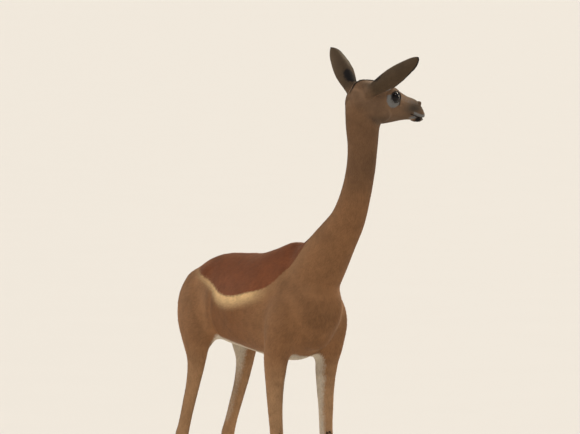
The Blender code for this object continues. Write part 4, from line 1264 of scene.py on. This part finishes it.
class GERENUK_OT_eyes(bpy.types.Operator):
    """Build both eyes with the black rims of their lids and the lashes"""

    bl_idname = "gerenuk.eyes"
    bl_label = "Eyes and lids"

    rim_steps = 72
    lash_count = 26
    # The rim's section: share of the opening's size, rise over the eyeball.
    rim_section = (
        (0.935, -0.0012),
        (0.940, 0.0003),
        (0.952, 0.0010),
        (0.978, 0.0015),
        (1.010, 0.0016),
        (1.050, 0.0013),
        (1.095, 0.0005),
        (1.180, -0.0012),
    )

    def eyeball(self, side, material):
        """A ball with the raised clear front of a real eye."""
        out, fore, up = eye_axes(side)
        shape = bmesh.new()
        bmesh.ops.create_uvsphere(shape, u_segments=56, v_segments=36, radius=EYE_RADIUS - 0.0003)
        for vert in shape.verts:
            tilt = vert.co.angle(UP) / math.radians(40.0)
            vert.co *= 1 + 0.055 * max(0.0, 1 - tilt**2)
        turn = Matrix((fore, up, out)).transposed().to_4x4()
        if turn.determinant() < 0:
            turn = turn @ Matrix.Diagonal((-1, 1, 1, 1))
        gaze = np.array([tuple(v.co / EYE_RADIUS) for v in shape.verts])
        bmesh.ops.transform(shape, matrix=Matrix.Translation(EYE_MIDDLES[side]) @ turn, verts=shape.verts)
        bmesh.ops.recalc_face_normals(shape, faces=shape.faces)
        obj = object_from("eyeball_" + side, shape)
        store(obj.data, {"gaze": gaze})
        dressed(obj, ["eye_" + side], material)

    def lid_rim(self, side, material):
        """Both lids as one soft rim that lies on the eyeball and dives under the skin."""
        axes = eye_axes(side)
        shape = bmesh.new()
        loops = []
        for k in range(self.rim_steps):
            turn = 2 * math.pi * k / self.rim_steps
            wide, high = lid_angles(turn)
            upper = 0.85 + 0.30 * math.sin(turn)
            loop = []
            for reach, rise in self.rim_section:
                ray = eye_ray(axes, wide * reach, high * reach)
                loop.append(shape.verts.new(EYE_MIDDLES[side] + ray * (EYE_RADIUS + rise * upper)))
            loops.append(loop)
        for low, high in zip(loops, loops[1:] + loops[:1]):
            for corners in zip(low, low[1:], high[1:], high):
                shape.faces.new(corners)
        bmesh.ops.recalc_face_normals(shape, faces=shape.faces)
        outermost = shape.faces[:][3]
        if outermost.normal.dot(outermost.calc_center_median() - EYE_MIDDLES[side]) < 0:
            bmesh.ops.reverse_faces(shape, faces=shape.faces)
        dressed(object_from("lids_" + side, shape), (), material)

    def lashes(self, side, material):
        """Stiff black lashes along the upper lid."""
        axes = eye_axes(side)
        shape = bmesh.new()
        for k in range(self.lash_count):
            turn = math.radians(28 + 124 * k / (self.lash_count - 1))
            wide, high = lid_angles(turn)
            base = eye_ray(axes, wide * 0.98, high * 0.98)
            root = EYE_MIDDLES[side] + base * (EYE_RADIUS + 0.0012)
            aim = (base + axes[2] * 0.10 + axes[1] * (0.5 * math.cos(turn))).normalized()
            length = 0.0075 + 0.0015 * math.sin(5.3 * k)
            across = aim.cross(UP).normalized() * 0.00028
            tip = root + aim * length - UP * (length * 0.10)
            middle = (root + tip) / 2 + UP * (length * 0.10)
            places = (root - across, root + across, middle - across, middle + across, tip)
            a, b, c, d, e = (shape.verts.new(p) for p in places)
            shape.faces.new((a, b, d, c))
            shape.faces.new((c, d, e))
        dressed(object_from("lashes_" + side, shape), (), material)

    def execute(self, context):
        eye, rim = eye_material(), wet_skin_material()
        for side in SIDES:
            self.eyeball(side, eye)
            self.lid_rim(side, rim)
            self.lashes(side, rim)
        return {"FINISHED"}


class GERENUK_OT_hooves(bpy.types.Operator):
    """Round off the hooves and add the dewclaws in horn"""

    bl_idname = "gerenuk.hooves"
    bl_label = "Hooves and dewclaws"

    # A dewclaw's section: part of its length, share of its radius.
    claw_section = ((0.0, 1.0), (0.35, 0.95), (0.7, 0.72), (0.92, 0.40), (1.0, 0.12))
    claw_length = 0.017
    claw_radius = 0.0060
    claw_sides = 12

    def claw(self, shape, root, aim):
        """A small blunt horn cone."""
        side = aim.cross(UP).normalized()
        up = side.cross(aim)
        loops = []
        for part, size in self.claw_section:
            centre = root + aim * (self.claw_length * part)
            loops.append(ring_of_points(shape, centre, side, up, self.claw_radius * size, self.claw_sides))
        close_tube(shape, loops)

    def execute(self, context):
        material = horn_material()
        for name in HOOVES:
            obj = object_from(name + "_horn", merged_solids([name]))
            bevel = obj.modifiers.new("edges", "BEVEL")
            bevel.width = 0.0008
            bevel.segments = 2
            bevel.angle_limit = math.radians(35)
            bevel.harden_normals = False
            dressed(baked(obj), [name], material)
        shape = bmesh.new()
        for name in HOOVES:
            low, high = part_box(name)
            heel = Vector((low.x, (low.y + high.y) / 2, 0.0))
            for sign in (1, -1):
                root = heel + Vector((-0.0240, sign * 0.0085, 0.0960))
                self.claw(shape, root, Vector((-0.55, sign * 0.18, -0.80)).normalized())
        bmesh.ops.recalc_face_normals(shape, faces=shape.faces)
        dressed(object_from("dewclaws", shape), (), material)
        return {"FINISHED"}


class GERENUK_OT_tail(bpy.types.Operator):
    """Build the thin tail with its black tuft"""

    bl_idname = "gerenuk.tail"
    bl_label = "Tail"

    rings = 60
    sides = 20

    def fields(self, points, part, lie):
        """The markings and hair of the tail's points, each at a part of its length."""
        return markings(points) | {
            "saddle": np.full(len(part), -0.07),
            "pale": np.full(len(part), -0.05),
            "dark": (part - 0.50) * 0.06,
            "leg_share": np.zeros(len(part)),
            "hair_size": np.interp(part, (0.0, 0.4, 0.6, 1.0), (0.9, 0.9, 2.4, 3.1)),
            # The flat ends stay bare, because hair can't lie along them.
            "hair_density": np.interp(part, (0.0, 0.02, 0.4, 0.6, 0.98, 1.0), (0.0, 1.2, 1.2, 0.8, 1.2, 0.0)),
            "lie": lie,
        }

    def execute(self, context):
        rows = between([(x, 0.0, z) for x, z in TAIL_LINE], self.rings)
        centres = [Vector(r) + BODY_ORIGIN for r in rows]
        parts = [k / (self.rings - 1) for k in range(self.rings)]
        along = tangents(centres)
        across = Vector((0, 1, 0))
        shape = bmesh.new()
        loops = []
        for part, centre, way in zip(parts, centres, along):
            radius = max(0.0145 - 0.0110 * min(1.0, part * 1.25), 0.0030)
            loops.append(ring_of_points(shape, centre, across, across.cross(way), radius, self.sides))
        close_tube(shape, loops)
        bmesh.ops.recalc_face_normals(shape, faces=shape.faces)
        obj = object_from("tail_skin", shape)
        lie = np.repeat(np.array([tuple(way) for way in along]), self.sides, axis=0)
        store(obj.data, self.fields(points_of(obj.data), np.repeat(parts, self.sides), lie))
        with_hair(obj, "coat_tail", "tail", ((0, 0, 1), (-1, 0, 0), (0, 1, 0)), 61, Width=0.0016)
        return {"FINISHED"}


class GERENUK_OT_brushes(bpy.types.Operator):
    """Add the raised crest on the crown and the brushes on the knees"""

    bl_idname = "gerenuk.brushes"
    bl_label = "Crest and knee brushes"

    def grow(self, name, depth, axes, seed, **values):
        """Raised hair over the skin's faces that lie inside a mark."""
        obj = cut_out(bpy.data.objects["gerenuk_skin"], name, lambda p: depth(p) > 0.0002)
        unwrapped(obj, *axes)
        dressed(tufted(obj, seed, **values))

    def execute(self, context):
        head = ((-1, 0, 0), (0, 0, 1), (0, 1, 0))
        self.grow("crest", crown_depth, head, 71, Length=0.0150, Width=0.0012, Lift=0.20, Density=450000.0)
        knees = {"Length": 0.0330, "Width": 0.0014, "Lift": 0.26, "Density": 260000.0}
        self.grow("knee_brushes", knee_depth, LEG_AXES, 72, **knees)
        return {"FINISHED"}


class GERENUK_OT_stage(bpy.types.Operator):
    """Set the pale floor, the soft lights and the photograph's camera"""

    bl_idname = "gerenuk.stage"
    bl_label = "Stage"

    def floor(self, settings):
        shape = bmesh.new()
        bmesh.ops.create_circle(shape, cap_ends=True, radius=settings.floor_radius, segments=96)
        obj = object_from("floor", shape)
        material, tree = blank_material("stage_floor")
        low = tuple(c * 0.985 for c in settings.floor_colour[:3]) + (1.0,)
        colour = blended(tree, noise(tree, object_place(tree), 2.0, 2.0), low, tuple(settings.floor_colour))
        shaded(material, {"Base Color": colour, "Roughness": 0.9, "Specular IOR Level": 0.1})
        obj.data.materials.append(material)

    def direction(self, azimuth, elevation):
        """The direction that something stands in, seen from the animal."""
        flat = math.cos(elevation)
        return Vector((math.sin(azimuth) * flat, -math.cos(azimuth) * flat, math.sin(elevation)))

    def sun(self, name, strength, colour, spread, azimuth, elevation):
        """A soft distant light that comes from a direction."""
        light = bpy.data.lights.new(name, "SUN")
        light.energy = strength
        light.color = colour
        light.angle = math.radians(spread)
        source = self.direction(math.radians(azimuth), math.radians(elevation))
        new_object(name, light).rotation_euler = source.to_track_quat("Z", "Y").to_euler()

    def camera(self, settings):
        back = self.direction(settings.azimuth, settings.elevation)
        right = Vector((math.cos(settings.azimuth), math.sin(settings.azimuth), 0.0))
        up = back.cross(right)
        withers = BODY_ORIGIN + UP * WITHERS_HEIGHT
        scale = settings.pixels_per_metre
        aim = withers + right * ((IMAGE_WIDTH / 2 - WITHERS_PIXEL[0]) / scale)
        aim = aim + up * ((WITHERS_PIXEL[1] - IMAGE_HEIGHT / 2) / scale)
        data = bpy.data.cameras.new("camera")
        data.sensor_width = SENSOR
        data.lens = SENSOR * scale * settings.distance / IMAGE_WIDTH
        data.clip_end = 1000.0
        obj = new_object("camera", data)
        obj.location = aim + back * settings.distance
        obj.rotation_euler = back.to_track_quat("Z", "Y").to_euler()
        bpy.context.scene.camera = obj

    def room(self, context, sky_light):
        """Even light all round, in front of a pale backdrop."""
        world = bpy.data.worlds.new("room")
        context.scene.world = world
        world.use_nodes = True
        tree = world.node_tree
        seen = node(tree, "ShaderNodeLightPath").outputs["Is Camera Ray"]
        strength = ramp(tree, seen, 0.0, 1.0, sky_light, BACKDROP_LIGHT)
        connect(tree, tree.nodes["Background"], {0: (0.95, 0.97, 1.0, 1.0), 1: strength})

    def execute(self, context):
        settings = context.scene.gerenuk_stage
        self.floor(settings)
        self.room(context, settings.sky_light)
        azimuth = math.degrees(settings.azimuth)
        rim, rim_colour = settings.rim_light, (1.0, 0.80, 0.55)
        self.sun("back_light", settings.back_light, (1.0, 0.85, 0.64), 16, azimuth + 150, 39)
        self.sun("rim_light_right", rim, rim_colour, 16, azimuth + 122, 12)
        self.sun("rim_light_left", 0.8 * rim, rim_colour, 20, azimuth - 122, 12)
        self.sun("front_light", settings.front_light, (1.0, 0.96, 0.90), 60, azimuth - 70, 32)
        self.sun("key_light", settings.key_light, (1.0, 0.97, 0.93), 10, azimuth + 50, 58)
        context.scene.view_settings.view_transform = "Standard"
        self.camera(settings)
        return {"FINISHED"}


class GERENUK_PT_panel(bpy.types.Panel):
    """Buttons for each group of pieces"""

    bl_idname = "GERENUK_PT_panel"
    bl_label = "Gerenuk"
    bl_space_type = "VIEW_3D"
    bl_region_type = "UI"
    bl_category = "Gerenuk"

    def draw(self, context):
        for operator in OPERATORS:
            self.layout.operator(operator.bl_idname)
        for settings in (context.scene.gerenuk_skin, context.scene.gerenuk_coat, context.scene.gerenuk_stage):
            box = self.layout.box()
            for name in settings.bl_rna.properties.keys():
                if name not in ("rna_type", "name"):
                    box.prop(settings, name)


OPERATORS = (
    GERENUK_OT_stage,
    GERENUK_OT_skin,
    GERENUK_OT_ears,
    GERENUK_OT_eyes,
    GERENUK_OT_hooves,
    GERENUK_OT_tail,
    GERENUK_OT_coat,
    GERENUK_OT_brushes,
)
SETTINGS = {
    "gerenuk_skin": GerenukSkinSettings,
    "gerenuk_coat": GerenukCoatSettings,
    "gerenuk_stage": GerenukStageSettings,
}


def register():
    for name, settings in SETTINGS.items():
        bpy.utils.register_class(settings)
        setattr(bpy.types.Scene, name, bpy.props.PointerProperty(type=settings))
    for operator in OPERATORS:
        bpy.utils.register_class(operator)
    bpy.utils.register_class(GERENUK_PT_panel)


def unregister():
    bpy.utils.unregister_class(GERENUK_PT_panel)
    for operator in reversed(OPERATORS):
        bpy.utils.unregister_class(operator)
    for name, settings in SETTINGS.items():
        delattr(bpy.types.Scene, name)
        bpy.utils.unregister_class(settings)


def main():
    register()
    bpy.ops.gerenuk.stage()
    bpy.ops.gerenuk.skin()
    bpy.ops.gerenuk.ears()
    bpy.ops.gerenuk.eyes()
    bpy.ops.gerenuk.hooves()
    bpy.ops.gerenuk.tail()
    bpy.ops.gerenuk.coat()
    bpy.ops.gerenuk.brushes()
    bpy.context.view_layer.update()


if __name__ == "__main__":
    main()
